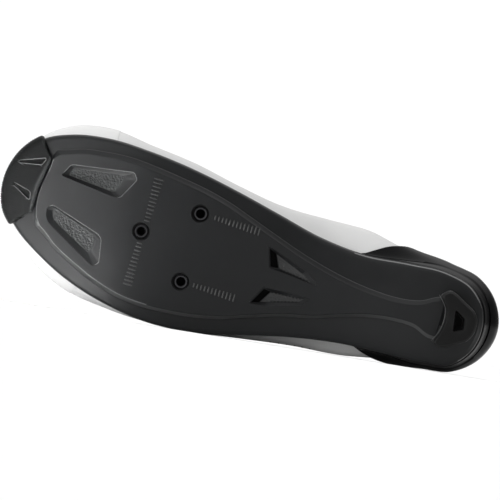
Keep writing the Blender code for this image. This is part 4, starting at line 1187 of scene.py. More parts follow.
# Film welded over the microfibre: a shade whiter and smoother, so its edge shows as a fine step.
OVERLAY = Finish("welded_overlay_film", "#d8d8d7", "#d1d1d1", (0.36, 0.46), pitch=0.0009, depth=0.00001)
# Injection-moulded heel cup, polished, so it mirrors the pale room in long streaks.
GLOSS = Finish("polished_nylon", "#050506", "#070708", (0.14, 0.22), Relief.NONE, specular=0.06)
# Spacer knit of the tongue: soft, open and without gloss, its loops drawn 1.6 mm apart.
KNIT_CLOTH = Finish("spacer_knit", "#c9c9ca", "#bfbfc1", (0.85, 0.95), Relief.KNIT, 0.0016, 0.0003, sheen=0.3)
# Brushed lining: dark grey, with a soft bloom from its nap.
LINING = Finish("brushed_lining", "#3a3a3c", "#444446", (0.88, 0.96), Relief.WEAVE, 0.0012, 0.00015, sheen=0.4)
# The insole's cloth is a plain dark weave, drawn 1.4 mm apart.
FOAM_CLOTH = Finish("foam_cloth", "#303133", "#38393b", (0.88, 0.96), Relief.WEAVE, 0.0014, 0.0002, sheen=0.3)
# The insole's underside is painted near black as painted shade, with fine cells in its relief; it shows through the
# bolt holes alone.
INSOLE_UNDERSIDE_SHADE = Finish("insole_underside_painted_shade", "#050506", "#09090a", (0.90, 0.97), depth=0.00003, specular=0.1)
# Twisted polyester thread: nearly white, with a slight silky shine.
THREAD = Finish("polyester_thread", "#dededd", "#d2d2d1", (0.55, 0.70), pitch=0.0003, depth=0.00003, sheen=0.2)
# Punched air holes are discs painted a dull mid grey, for the backing seen through them and painted shade in the holes.
HOLE = Finish("punched_hole", "#6e6e70", "#5e5e60", (0.85, 0.95))
# Brass inserts with a black nickel plating, turned; their rims are painted paler as a painted highlight.
NICKEL = Finish(
    "black_nickel_on_brass",
    "#1c1c1d",
    "#161617",
    (0.26, 0.38),
    pitch=0.0004,
    depth=0.00001,
    metallic=1.0,
    edge_highlight_colour="#5a5a5c",
)
# Inside their bores the same plating is dull, and painted near black as painted shade.
NICKEL_BORE_SHADE = Finish(
    "nickel_bore_painted_shade", "#050505", "#080808", (0.50, 0.60), pitch=0.0004, depth=0.00001, metallic=1.0
)


def dress(piece: bpy.types.Object, finish: Finish, nodes: Sequence[str] = ()) -> bpy.types.Object:
    """Lays a piece down with the shoe, gives it its finish and hands it to the frame.

    Args:
        piece: The piece, in the shoe's own frame.
        finish: Its finish, for faces that have none yet.
        nodes: The solids that it stands for.

    Returns:
        The piece.
    """
    if not piece.data.materials:
        piece.data.materials.append(finish.material())
    piece.data.transform(SHOE_TO_WORLD)
    piece.data.update()
    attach(piece, BODY)
    if nodes:
        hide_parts(*nodes)
    LOG.info("%s: %d faces", piece.name, len(piece.data.polygons))
    return piece


def highlight_beads(name: str, beads: Sequence[bpy.types.Object]) -> None:
    """Joins thin beads into one piece and dresses it with the painted edge highlight.

    Args:
        name: The piece's name.
        beads: The beads, at least one.
    """
    join_into(beads[0], beads[1:])
    beads[0].name = beads[0].data.name = name
    smooth(beads[0], 60.0)
    dress(beads[0], PAINTED_EDGE_HIGHLIGHT)


@dataclass(frozen=True)
class Seam:
    """How a row of stitches is sewn.

    Attributes:
        start: How far along its line the first stitch lies.
        ahead: How far ahead the line is looked at for a stitch's direction.
        pitch: The distance between stitches.
        length: A stitch's length.
        width: A stitch's thickness.
    """

    start: float
    ahead: float
    pitch: float = 0.0029
    length: float = 0.0021
    width: float = 0.0005

    def sew(self, name: str, lines: Sequence[tuple[Points, Points]], slot: str) -> None:
        """Sews stitches along lines and dresses them.

        Args:
            name: The piece's name.
            lines: The points of each line, with the surface's normals there.
            slot: Not used.
        """
        bpy.ops.object.select_all(action="DESELECT")
        bpy.ops.mesh.primitive_uv_sphere_add(segments=8, ring_count=6, radius=0.5)
        stitch = bpy.context.active_object
        size = Matrix.Diagonal((self.length, self.width, self.width, 1.0))
        places = []
        for path, normals in lines:
            walked = distances(path)
            for at in np.arange(self.start, walked[-1], self.pitch):
                spot, ahead = rows_at(at, walked, path), rows_at(at + self.ahead, walked, path)
                if np.linalg.norm(ahead - spot) > 1e-6:
                    places.append(standing(spot, ahead - spot, rows_at(at, walked, normals)) @ size)
        dress(copies(name, stitch, places), THREAD)


# The sole and what is let into it.


@dataclass
class Pocket:
    """A pocket with a rounded lip, sloped walls and a floor of its own.

    Attributes:
        name: Its name.
        mouth: The mouth's corners in plan, in millimetres.
        floor: The floor's corners, one for each corner of the mouth.
        depth: The floor's depth at the front and at the rear end, in millimetres.
        lip: The lip's radius in millimetres.
        finish: The floor's finish.
        corner: The corners' radius in millimetres.
    """

    name: str
    mouth: list[tuple[float, float]]
    floor: list[tuple[float, float]]
    depth: tuple[float, float]
    lip: float
    finish: Finish
    corner: float = 1.1

    def cutter(self, height: Heights, wall: Finish) -> bpy.types.Object:
        """The solid that cuts this pocket.

        Args:
            height: Gives the height of the face that it is cut into.
            wall: The finish of its walls.

        Returns:
            The cutter.
        """
        mouth = np.array(self.mouth) * MM
        floor = rounded(np.array(self.floor) * MM, 0.7 * self.corner * MM)
        edge = rounded(mouth, self.corner * MM)
        lip = self.lip * MM
        low, high = floor[:, 0].min(), floor[:, 0].max()
        front, rear = self.depth
        deep = (rear + (front - rear) * (floor[:, 0] - low) / (high - low)) * MM
        loops = []
        for degrees in LIP_TURNS:
            turn = math.radians(degrees)
            ring = rounded(offset_corners(mouth, -lip * (1 - math.sin(turn))), (self.corner + self.lip) * MM)
            loops.append(raised(ring, height(ring) + lip * (1 - math.cos(turn)) - lip * 0.18))
        below = loops[0] - UP * 2 * MM
        for share, fall in WALL_STEPS:
            ring = edge + (floor - edge) * min(share, 1.0)
            if share > 1.0:
                middle = floor.mean(axis=0)
                ring = middle + (floor - middle) * (1 - 0.35 * MM / np.linalg.norm(floor - middle, axis=1))[:, None]
            start = lip * 0.82
            loops.append(raised(ring, height(ring) + start + (np.maximum(deep, start) - start) * fall))
        piece = loops_piece(self.name, [below, *loops])
        piece.data.materials.append(wall.material())
        piece.data.materials.append(self.finish.material())
        count = len(loops[0])
        for face in piece.data.polygons:
            if len(face.vertices) == count and face.center.z > float(height(np.array([face.center[:2]]))[0]):
                face.material_index = 1
        return piece


FRONT_VENTS = [
    Pocket(
        "vent_front_inner",
        [(254.2, 17.2), (250.5, 24.4), (216.0, 30.2), (213.4, 26.6), (219.6, 14.8), (222.6, 14.0)],
        [(250.6, 18.2), (249.0, 22.9), (221.4, 26.6), (220.0, 25.2), (223.2, 16.9), (225.0, 16.2)],
        (2.6, 2.3),
        0.45,
        VENT_FLOOR,
    ),
    Pocket(
        "vent_front_outer",
        [(256.8, -2.4), (254.2, 0.3), (225.8, -8.0), (223.3, -10.2)]
        + [(221.0, -23.0), (223.9, -25.7), (254.0, -9.6), (255.8, -7.0)],
        [(253.6, -2.9), (252.4, -1.3), (228.0, -9.2), (226.4, -10.8)]
        + [(226.9, -18.2), (228.4, -19.6), (250.8, -8.3), (252.6, -6.2)],
        (2.6, 2.3),
        0.45,
        VENT_FLOOR,
    ),
]
REAR_VENTS = [
    Pocket(
        "vent_rear_inner",
        [(134.0, 11.6), (110.0, 3.7), (104.2, 0.2), (103.0, -2.6), (106.0, -2.1), (120.0, -0.6), (130.4, 0.1)],
        [(128.8, 8.4), (111.6, 1.9), (107.2, -0.5), (106.0, -1.6), (107.6, -1.4), (119.0, 0.1), (125.2, 1.0)],
        (2.7, 0.7),
        0.40,
        SHADE_FLOOR,
        0.7,
    ),
    Pocket(
        "vent_rear_outer",
        [(136.0, -21.7), (130.6, -11.0), (120.0, -10.6), (103.4, -9.8), (107.0, -14.6), (115.0, -17.0), (127.0, -20.6)],
        [(130.4, -19.6), (126.0, -12.4), (119.0, -11.8), (107.4, -11.3), (109.2, -13.4), (115.4, -15.2), (126.0, -18.2)],
        (2.7, 0.7),
        0.40,
        SHADE_FLOOR,
        0.7,
    ),
]
DUCTS = [
    Pocket(
        "duct_inner",
        [(133.2, 10.5), (128.8, 8.9), (125.3, 1.0), (130.0, 0.7)],
        [(132.9, 10.2), (129.2, 8.7), (125.9, 1.3), (129.9, 1.0)],
        (4.6, 4.6),
        0.02,
        DARK_DUCT,
        0.5,
    ),
    Pocket(
        "duct_outer",
        [(135.0, -21.0), (130.2, -19.8), (125.8, -12.3), (130.2, -11.7)],
        [(134.7, -20.8), (130.6, -19.6), (126.2, -12.5), (130.0, -12.0)],
        (4.6, 4.6),
        0.02,
        DARK_DUCT,
        0.5,
    ),
]


GUARD_GROOVES = [
    Pocket(
        "groove_inner",
        [(278.6, 18.4), (265.2, 23.7), (264.6, 22.8), (266.2, 19.4), (278.2, 17.0)],
        [(277.4, 18.0), (266.4, 22.3), (266.0, 22.0), (267.0, 20.2), (277.2, 17.6)],
        (0.8, 1.3),
        0.3,
        RUBBER,
        0.4,
    ),
    Pocket(
        "groove_outer",
        [(278.4, 6.0), (269.0, 3.9), (268.0, 3.2), (267.2, -0.4), (268.4, -0.7), (278.2, 4.4)],
        [(277.2, 5.5), (269.6, 3.1), (269.0, 2.6), (268.5, 0.6), (269.2, 0.5), (277.0, 4.8)],
        (0.8, 1.3),
        0.3,
        RUBBER,
        0.4,
    ),
]
PAD_HOLE = Pocket(
    "screw_hole",
    [(25.9, 7.2), (19.6, 3.7), (18.7, -2.2), (24.1, -4.9)],
    [(25.2, 5.9), (20.6, 3.0), (19.9, -1.6), (23.9, -3.7)],
    (4.8, 4.8),
    0.4,
    DARK_DUCT,
    1.0,
)


class SoleFace(IntEnum):
    """The finish of a face of the sole, by its place among the sole's materials."""

    PLAIN = 0
    PAINTED_BEVEL_HIGHLIGHT = 1
    PAINTED_EDGE_HIGHLIGHT = 2
    SHADED = 3


@dataclass
class Sole:
    """The moulded sole with its raised plate, vents, bolt recesses and cleat scales."""

    form: ShoeForm
    cap: int = 32
    cleat_setback: float = 0.0814
    cleat_base: float = 0.0388
    cleat_reach: float = 0.0286
    cleat_offset: float = -0.0010
    recess_radius: float = 0.0047
    recess_depth: float = 0.0016
    insert_radius: float = 0.0036
    insert_flange: float = 0.0060
    flange_thickness: float = 0.0010
    insert_bore: float = 0.0021
    pad_seat: float = 0.0012

    def plate_loop(self, drawn_in: float) -> Points:
        """The raised plate's outline in plan.

        Args:
            drawn_in: How far it is drawn in from its widest.

        Returns:
            A point for each station.
        """
        form, outline = self.form, self.form.outline
        count = len(outline)
        known_at, inner, outer = (np.array(c) for c in zip(*PLATE))
        rear, front = known_at[0] * form.length + drawn_in, known_at[-1] * form.length - drawn_in

        def side(x: np.ndarray, column: np.ndarray, away: int) -> Points:
            """Points of one side.

            Args:
                x: Distances from the heel.
                column: The side's column of the table.
                away: 1 for the inner side and -1 for the outer.

            Returns:
                The points in plan.
            """
            x = np.clip(x, rear, front)
            y = smooth_value(x / form.length, known_at, column) * form.ball_width
            return np.column_stack([x, y - away * drawn_in])

        half = count // 2
        points = outline.copy()
        points[: half + 1] = side(outline[: half + 1, 0], inner, 1)
        points[half + 1 :] = side(outline[half + 1 :, 0], outer, -1)
        for middle, end, way in ((0, front, 1), (half, rear, -1)):
            first, second = side(np.array([end]), inner, 1)[0], side(np.array([end]), outer, -1)[0]
            for k in range(-self.cap, self.cap + 1):
                share = 0.5 - 0.5 * k * way / self.cap
                point = first + (second - first) * share
                if middle == 0:
                    hidden = 0.7 * min(1.0, min(share, 1 - share) / 0.10)
                    ahead = smooth_value(np.array([share]), PLATE_FRONT[0], PLATE_FRONT[1])[0]
                    point = point + np.array([ahead * form.length + hidden * drawn_in, 0.0])
                points[(middle + k) % count] = point
        return points

    def loops(self) -> list[Points]:
        """The sole's loops from the raised plate round the rim to the bed.

        Returns:
            The loops in order, with a point for each station.
        """
        form = self.form
        outline, x = form.outline, form.outline[:, 0]
        made = []
        for share, fall in BEVEL_STEPS:
            plan = self.plate_loop(form.plate_bevel * (1 - share))
            high, low = form.margin_over(plan), form.under(plan[:, 0])
            made.append(raised(plan, low + (high - low) * fall))
        start, edge = made[-1][:, :2], form.margin(x, 1.0)
        under = inset(outline, form.rim_turn)
        for share in MARGIN_STEPS:
            plan = start + (under - start) * share
            made.append(raised(plan, form.margin_over(plan)))
        turn = form.rim_turn
        for t in np.linspace(0, 1, 9):
            drawn = bezier(turn, 0.42 * turn, 0.0, 0.0, t)
            height = bezier(0.0, 0.10, 0.42, 1.0, t) * 0.62 * form.rim_height
            made.append(raised(inset(outline, drawn), edge + height))
        for drawn, height in RIM_STEPS:
            made.append(raised(inset(outline, drawn * form.rim_thickness), edge + height * form.rim_height))
        bed = inset(outline, form.rim_thickness)
        made.append(raised(bed, edge + form.shell_thickness))
        return made

    def fill(self, loop: Points, height: Heights, first: int, second: int) -> np.ndarray:
        """A grid of points between the two sides of a loop.

        Args:
            loop: The loop, of which two ends lie along straight edges.
            height: Gives the heights inside.
            first: Stations on either side of the toe tip in the first row.
            second: Stations on either side of the heel tip in the last row.

        Returns:
            The grid, with the loop's own points on its border.
        """
        half = len(loop) // 2
        across = np.linspace(0, 1, 2 * first + 1)[:, None]
        rows = [np.array([loop[k] for k in range(first, -first - 1, -1)])]
        for i in range(first + 1, half - second):
            row = loop[i] + (loop[-i] - loop[i]) * across
            row[1:-1, 2] = height(row[1:-1, :2])
            rows.append(row)
        rows.append(np.array([loop[half + k] for k in range(-second, second + 1)]))
        return np.array(rows)

    def bed_fill(self, loop: Points) -> np.ndarray:
        """A grid that covers the bed inside its loop, with both ends drawn to a point.

        Args:
            loop: The loop round the bed.

        Returns:
            The grid, with the loop's own points on its border.
        """
        half = len(loop) // 2
        across = np.linspace(0, 1, 17)[:, None]
        rows = []
        for i in range(0, half + 1):
            row = loop[i] + (loop[-i] - loop[i]) * across
            row[1:-1, 2] = self.form.bed_over(row[1:-1, :2]) if 0 < i < half else row[1:-1, 2]
            rows.append(row)
        return np.array(rows)

    def bolts(self) -> dict[str, tuple[float, float]]:
        """Places of the three cleat bolts.

        Returns:
            Each bolt's place in plan, by its name.
        """
        front = self.form.length - self.cleat_setback
        rear = front - self.cleat_reach
        return {
            "front": (front, self.cleat_offset + 0.0012),
            "inner": (rear, self.cleat_offset + self.cleat_base / 2),
            "outer": (rear, self.cleat_offset - self.cleat_base / 2),
        }

    def bolt_levels(self, place: tuple[float, float]) -> tuple[float, float]:
        """Heights of the sole's faces round a bolt.

        Args:
            place: The bolt's place in plan.

        Returns:
            The underside's height, and the bed's lowest over the insert's flange.
        """
        away = math.copysign(self.insert_flange, place[1])
        far = np.array([[place[0] + s * self.insert_flange, place[1] + away] for s in (-1, 1)])
        return float(self.form.under(np.array(place[0]))), float(self.form.bed_over(far).min())

    def recess(self, name: str, place: tuple[float, float]) -> bpy.types.Object:
        """The cutter for one bolt's recess and the room for its insert.

        Args:
            name: The bolt's name.
            place: Its place in plan.

        Returns:
            The cutter.
        """
        under, bed = self.bolt_levels(place)
        radius, mouth = self.recess_radius, self.recess_radius + 0.0005
        room, flange = self.insert_radius + self.form.clearance, self.insert_flange + self.form.clearance
        ledge, seat = under + self.recess_depth + 0.0010, bed - 0.0016
        levels = [(mouth, under - 0.004), (mouth, under - 0.0001), (radius + 0.00022, under + 0.00012)]
        levels += [(radius, under + 0.00045), (radius, ledge), (room, ledge), (room, seat)]
        levels += [(flange, seat), (flange, bed + 0.012)]
        turns = np.linspace(0, 2 * np.pi, 64, endpoint=False)
        ring = np.column_stack([np.cos(turns), np.sin(turns)])
        loops = [raised(np.array(place) + ring * r, z) for r, z in levels]
        piece = loops_piece(f"recess_{name}", loops)
        # The recess's walls are painted near black, as painted shade.
        piece.data.materials.append(PAINTED_SHADE_COMPOSITE.material())
        return piece

    def build(self) -> None:
        """Builds and dresses the sole."""
        form = self.form
        loops = self.loops()
        face = self.fill(loops[0], form.under_over, self.cap, self.cap)
        sole = loops_piece("sole_shell", loops, [face, self.bed_fill(loops[-1])])
        # Beside the plain composite: the bevel's painted highlight, the painted edge highlight and painted shade.
        for finish in (COMPOSITE, BEVEL, PAINTED_EDGE_HIGHLIGHT, PAINTED_SHADE_COMPOSITE):
            sole.data.materials.append(finish.material())
        self.mark_faces(sole)
        cutters = [vent.cutter(form.under_over, COMPOSITE) for vent in (*FRONT_VENTS, *REAR_VENTS)]
        cutters += [self.recess(name, place) for name, place in self.bolts().items()]
        cutters.append(self.pad_room())
        cut(sole, cutters)
        cut(sole, [duct.cutter(form.under_over, DARK_DUCT) for duct in DUCTS])
        smooth(sole, 24.0)
        dress(sole, COMPOSITE, ["sole"])
        self.scales()
        self.dashes()
        self.lips()

    def mark_faces(self, sole: bpy.types.Object) -> None:
        """Marks the faces that get a painted highlight or painted shade.

        Args:
            sole: The sole, before its pockets are cut.
        """
        form = self.form
        centres = np.array([face.center for face in sole.data.polygons])
        normals = np.array([face.normal for face in sole.data.polygons])
        x, y, out = centres[:, 0], centres[:, 1], form.side_share(centres[:, :2])
        low, high = form.under(x), form.margin_over(centres[:, :2])
        fall = (centres[:, 2] - low) / (high - low)
        rise = (centres[:, 2] - form.margin(x, 1.0)) / form.rim_height
        down = (normals[:, 2] < -0.2) & (out < 0.95)
        lit = (x > 0.034) & (x < 0.262)
        ahead = (normals[:, 0] > 2 * np.abs(normals[:, 1])) & (normals[:, 2] > -0.9) & (x > 0.255) & (y < 0.0245)
        behind = (x < 0.088) & (out > 0.93)
        marks = (
            # Painted highlight on the bevel's slope on the outer side, and on its upper edge on the inner side.
            (SoleFace.PAINTED_BEVEL_HIGHLIGHT, down & (fall > 0.17) & (fall < 0.9) & (y < -0.004)),
            (SoleFace.PAINTED_BEVEL_HIGHLIGHT, down & lit & (fall > 0.9) & (fall < 0.975) & (y > 0)),
            # Painted edge highlight on the plate's lip, on the outer side of the forefoot and at the toe.
            (SoleFace.PAINTED_EDGE_HIGHLIGHT, down & lit & (x > 0.19) & (y < 0) & (fall > 0.012) & (fall < 0.17)),
            (SoleFace.PAINTED_EDGE_HIGHLIGHT, down & ahead & (fall > 0.005) & (fall < 0.6)),
            # Painted edge highlight on the rim's edge round the heel, and painted shade above it, which the heel cup
            # keeps in shade.
            (SoleFace.PAINTED_EDGE_HIGHLIGHT, behind & (rise > 0.005) & (rise < 0.12) & (y > -0.02)),
            (SoleFace.SHADED, behind & (rise > 0.12)),
        )
        chosen = np.full(len(centres), int(SoleFace.PLAIN), np.int32)
        for mark, faces in marks:
            chosen[faces] = int(mark)
        sole.data.polygons.foreach_set("material_index", chosen)

    def lips(self) -> None:
        """Beads with a painted edge highlight along the lips of the front vents, and a bead where the pad meets the
        plate.
        """
        form = self.form
        rows = [FRONT_VENTS[0].mouth[:], FRONT_VENTS[1].mouth[:6]]
        beads = []
        for number, row in enumerate(rows):
            ring = rounded(np.array(row) * MM, 1.3 * MM)[6:-6]
            path = fine_path(raised(ring, form.under(ring[:, 0]) + 0.05 * MM), 0.3 * MM)
            beads.append(bead(f"lip_{number}", path, 0.22 * MM))
        front = form.in_metres([*PAD_OUTLINE[9:], PAD_OUTLINE[0]]) + (0.45 * MM, 0.0)
        line = hermite(front, np.arange(6) / 6, closed=False)
        path = fine_path(raised(line, form.under(line[:, 0]) - 0.02 * MM), 0.3 * MM)
        beads.append(bead("lip_pad", path, 0.22 * MM))
        highlight_beads("moulded_lips", beads)

    def pad_room(self) -> bpy.types.Object:
        """The cutter for the heel pad's seat.

        Returns:
            The cutter.
        """
        form = self.form
        ring = rounded(offset_corners(form.in_metres(PAD_OUTLINE), -form.clearance), 2.2 * MM)
        top = form.under(ring[:, 0]) + self.pad_seat + form.clearance
        piece = loops_piece("pad_room", [raised(ring, -form.arch_height), raised(ring, top)])
        piece.data.materials.append(COMPOSITE.material())
        return piece

    def scales(self) -> None:
        """The three rows of low ribs beside the bolts, which show how far the cleat is moved."""
        rib = small_cube(0.22, 2)
        places = []
        width, high = 0.84 * MM, 0.9 * MM
        for side in (-1, 1):
            for k in range(12):
                v = side * (6.2 + 2.15 * k) + (0.4 if side > 0 else 0.0)
                long = 3.2 + 2.2 * k / 11
                places.append((202.3 - 0.25 * side, v, long, False))
        for row, (start, v0, v1) in enumerate(((166.6, 18.5, 17.7), (167.6, -20.3, -21.2))):
            for k in range(13 - row):
                share = k / 12
                places.append((start - 2.1 * k, v0 + (v1 - v0) * share, 2.6 + 2.0 * share, True))
        matrices = []
        for u, v, long, lengthwise in places:
            z = float(self.form.under(np.array(u * MM)))
            size = (width, long * MM, high) if lengthwise else (long * MM, width, high)
            matrices.append(Matrix.Translation((u * MM, v * MM, z - 0.06 * MM)) @ Matrix.Diagonal((*size, 1.0)))
        # The ribs are painted paler than the plate, as a painted highlight.
        dress(copies("cleat_scales", rib, matrices), RIB)

    def dashes(self) -> None:
        """Small bars beside the floors of the rear vents, painted near black as painted shade where the floors meet the
        walls.
        """
        bar = small_cube(0.2, 1)
        lines = (((124.0, 0.75), (108.4, -0.95)), ((125.0, -12.7), (109.5, -11.75)), ((124.4, -17.4), (111.0, -13.9)))
        front, rear = 1.75, 0.62
        size = Matrix.Diagonal((1.1 * MM, 0.42 * MM, 0.4 * MM, 1.0))
        places = []
        for start, end in lines:
            first, last = np.array(start), np.array(end)
            count = int(np.linalg.norm(last - first) / 1.9)
            for k in range(count + 1):
                share = k / count
                spot = (first + (last - first) * share) * MM
                depth = (front + (rear - front) * share) * MM
                place = np.array([spot[0], spot[1], float(self.form.under(spot[0])) + depth - 0.05 * MM])
                along = np.array([*(last - first), 0.0])
                places.append(standing(place, along, UP) @ size)
        dress(copies("vent_dashes", bar, places), PAINTED_SHADE_COMPOSITE)

    def inserts(self) -> None:
        """The three threaded inserts that take the cleat's bolts."""
        for name, place in self.bolts().items():
            under, bed = self.bolt_levels(place)
            top = bed - self.form.clearance
            seat, foot = top - self.flange_thickness, under + 0.35 * self.recess_depth
            bore, radius = self.insert_bore, self.insert_radius
            section = [(bore + 0.0006, foot), (radius - 0.00035, foot), (radius, foot + 0.00035), (radius, seat)]
            section += [(self.insert_flange, seat), (self.insert_flange, top), (bore + 0.0003, top)]
            turns = max(3, int((top - foot - 0.0010) / 0.0008))
            pitch = (top - foot - 0.0010) / turns
            for k in range(turns):
                z = top - 0.0003 - k * pitch
                section += [(bore + 0.00042, z - 0.35 * pitch), (bore, z - 0.75 * pitch)]
            section.append((bore + 0.0001, foot + 0.0006))
            piece = spun(f"insert_{name}", place, section)
            smooth(piece, 30.0)
            piece.data.materials.append(NICKEL.material())
            piece.data.materials.append(NICKEL_BORE_SHADE.material())
            # Faces inside the bore are painted near black, as painted shade.
            for face in piece.data.polygons:
                inside = math.dist(face.center[:2], place[:2]) < bore + 0.0006
                face.material_index = int(inside and face.center.z > foot + 0.0004)
            dress(piece, NICKEL, [f"cleat_insert_{name}"])


@dataclass
class ToeGuard:
    """The rubber guard that wraps the toe, with a toothed front edge and two grooves."""

    form: ShoeForm
    sole: Sole
    thickness: float = 0.0020
    side: float = 0.0015
    lap: float = 0.0085
    least_lap: float = 0.0026
    tooth_pitch: float = 0.0012
    tooth_depth: float = 0.0004
    plate_lap: float = 0.0018

    @cached_property
    def out(self) -> Points:
        """The direction out of the sole's outline at each station."""
        return outward(self.form.outline)

    @cached_property
    def under(self) -> Points:
        """Where the sole's underside turns up into its rim, in plan."""
        return inset(self.form.outline, self.form.rim_turn)

    @cached_property
    def plate(self) -> Points:
        """How far in the guard may reach under the sole, in plan."""
        return self.sole.plate_loop(self.plate_lap)

    def stations(self) -> list[int]:
        """The stations that it covers.

        Returns:
            The stations from its inner end round the toe to its outer end.
        """
        x = self.form.outline[:, 0]
        count, half = len(x), len(x) // 2
        ends = self.form.in_metres([GUARD_REAR[0], GUARD_REAR[-1]])[:, 0]
        first = int(np.argmin(np.abs(x[:half] - ends[0])))
        last = half + int(np.argmin(np.abs(x[half:] - ends[1])))
        return [i % count for i in range(last - count, first + 1)][::-1]

    def rear_point(self, i: int) -> Points:
        """The point of a station's line across the margin that lies nearest the guard's rear edge.

        Args:
            i: The station.

        Returns:
            The point in space, on the sole's margin.
        """
        line = self.under[i] + (self.plate[i] - self.under[i]) * np.linspace(0.02, 0.985, 240)[:, None]
        corners = self.form.in_metres(GUARD_REAR)
        edge = rows_at(np.linspace(0, len(corners) - 1, 400), np.arange(len(corners)), corners)
        gaps = np.linalg.norm(line[:, None] - edge[None], axis=2).min(axis=1)
        nearest = line[[int(np.argmin(gaps))]]
        return raised(nearest, self.form.margin_over(nearest))[0]

    def wall(self, i: int, height: float) -> tuple[Points, Points]:
        """Where the upper reaches a height at a station.

        Args:
            i: The station.
            height: The height.

        Returns:
            The place, and the upper's normal there, which never faces down.
        """
        column = self.form.surface[1:, i]
        spot = rows_at(height, column[:, 2], column)
        way = unit(rows_at(height, column[:, 2], self.form.normals[1:, i]))
        return spot, unit(np.maximum(way, [-1.0, -1.0, 0.0]))

    def section(self, i: int, share: float, walked: float) -> Points:
        """The guard's closed section at a station.

        Args:
            i: The station.
            share: How far along the guard it lies, from 0 to 1.
            walked: How far along the guard it lies, in metres.

        Returns:
            Points from the rear edge over the outside up to the upper, and back along the inside.
        """
        form, out, spot = self.form, self.out[i], self.form.outline[i]
        lap = self.least_lap + (self.lap - self.least_lap) * math.sin(math.pi * share) ** 0.6
        tooth = 0.5 + 0.5 * math.tanh(3 * math.sin(2 * math.pi * walked / self.tooth_pitch))
        middle = min(1.0, max(0.0, min(share, 1 - share) / 0.10 - 0.3))
        proud = self.tooth_depth * tooth * middle
        level, rear = np.array([*out, 0.0]), self.rear_point(i)
        edge, high = float(form.margin(spot[0], 1.0)), float(form.rim(spot[0]))
        foot = np.array([*self.under[i], edge])
        followed = [(rear, -UP, self.thickness), (rear * 0.6 + foot * 0.4, -UP, self.thickness)]
        followed.append((foot, unit(0.3 * level - UP), self.thickness))
        # Round the rim: shares of its turn and height, the way out, and the thickness there.
        for inward, rise, way, thick in (
            (0.55, 0.10, 0.9 * level - 0.8 * UP, 1.15 * self.side + 0.5 * proud),
            (0.12, 0.33, level - 0.22 * UP, self.side + proud),
            (0.0, 0.62, level, self.side + proud),
        ):
            place = np.array([*(spot - out * inward * form.rim_turn), edge + rise * form.rim_height])
            followed.append((place, unit(way), thick))
        followed.append((np.array([*spot, high + form.clearance]), level, self.side + 0.7 * proud))
        for part, thick in ((0.30, 1.5), (0.65, 1.15), (0.92, 0.8)):
            followed.append((*self.wall(i, high + part * lap), thick * self.side))
        end_spot, end_way = self.wall(i, high + lap)
        gap, swell = form.skin_gap, max(edge_fullness(np.array([share]), 0.035)[0], 0.04)
        near = [place + way * gap for place, way, _ in followed]
        far = [place + way * (gap + thick * swell) for place, way, thick in followed]
        far[0] = far[0] + unit(far[1] - far[0]) * 0.0003
        corner_low = near[0] + (far[0] - near[0]) * 0.55 - unit(far[1] - far[0]) * 0.00035
        tip = end_spot + end_way * (gap + 0.25 * self.side)
        skin = hermite([near[0], corner_low, *far, tip], np.arange(4) / 4, closed=False)
        return np.vstack([skin, np.array(near[::-1])])

    def build(self) -> None:
        """Builds and dresses the guard."""
        chosen = self.stations()
        walked = distances(self.form.outline[chosen])
        sections = [self.section(i, k / (len(chosen) - 1), float(walked[k])) for k, i in enumerate(chosen)]
        guard = grid_piece("toe_guard_skin", np.array(sections).transpose(1, 0, 2))
        fill_holes(guard)
        tidy_mesh(guard, 2e-6)
        corners = [tuple(v.co) for v in guard.data.vertices]
        tree = BVHTree.FromPolygons(corners, [tuple(f.vertices) for f in guard.data.polygons])

        def underside(points: Points) -> np.ndarray:
            """Height of the guard's underside at plan points, or 0 beside the guard."""
            hits = [tree.ray_cast(Vector((x, y, -0.02)), Vector((0, 0, 1)))[0] for x, y in points]
            return np.array([hit.z if hit else 0.0 for hit in hits])

        guard.data.materials.append(RUBBER.material())
        # Beads along the grooves carry the painted edge highlight.
        beads = []
        for groove in GUARD_GROOVES:
            ring = rounded(np.array(groove.mouth) * MM, 0.5 * MM)[3:-3]
            line = fine_path(raised(ring, underside(ring)), 0.3 * MM)
            beads.append(bead(f"{groove.name}_bead", line, 0.2 * MM))
        cut(guard, [groove.cutter(underside, RUBBER) for groove in GUARD_GROOVES])
        smooth(guard, 38.0)
        dress(guard, RUBBER, ["toe_guard"])
        highlight_beads("groove_beads", beads)


@dataclass
class HeelPad:
    """The rubber pad under the heel, a bevelled block with a hole for its screw."""

    form: ShoeForm
    bevel: float = 0.0014
    seat: float = 0.0012
    corner: float = 0.0022

    def underside(self, points: Points) -> np.ndarray:
        """Height of the pad's underside, which stands on the ground, at plan points."""
        return np.zeros(len(points))

    def build(self) -> None:
        """Builds and dresses the pad."""
        corners = self.form.in_metres(PAD_OUTLINE)
        loops = []
        for drawn, height in PAD_STEPS:
            ring = rounded(offset_corners(corners, drawn * self.bevel), self.corner)
            loops.append(raised(ring, height * self.bevel))
        top = rounded(corners, self.corner)
        loops.append(raised(top, self.form.under(top[:, 0]) + self.seat))
        pad = loops_piece("heel_pad_block", loops)
        # The pad's rubber is painted darker than the guard's, as painted shade.
        pad.data.materials.append(PAD_RUBBER.material())
        cut(pad, [PAD_HOLE.cutter(self.underside, PAD_RUBBER)])
        smooth(pad, 26.0)
        dress(pad, PAD_RUBBER, ["heel_pad"])


# The upper.


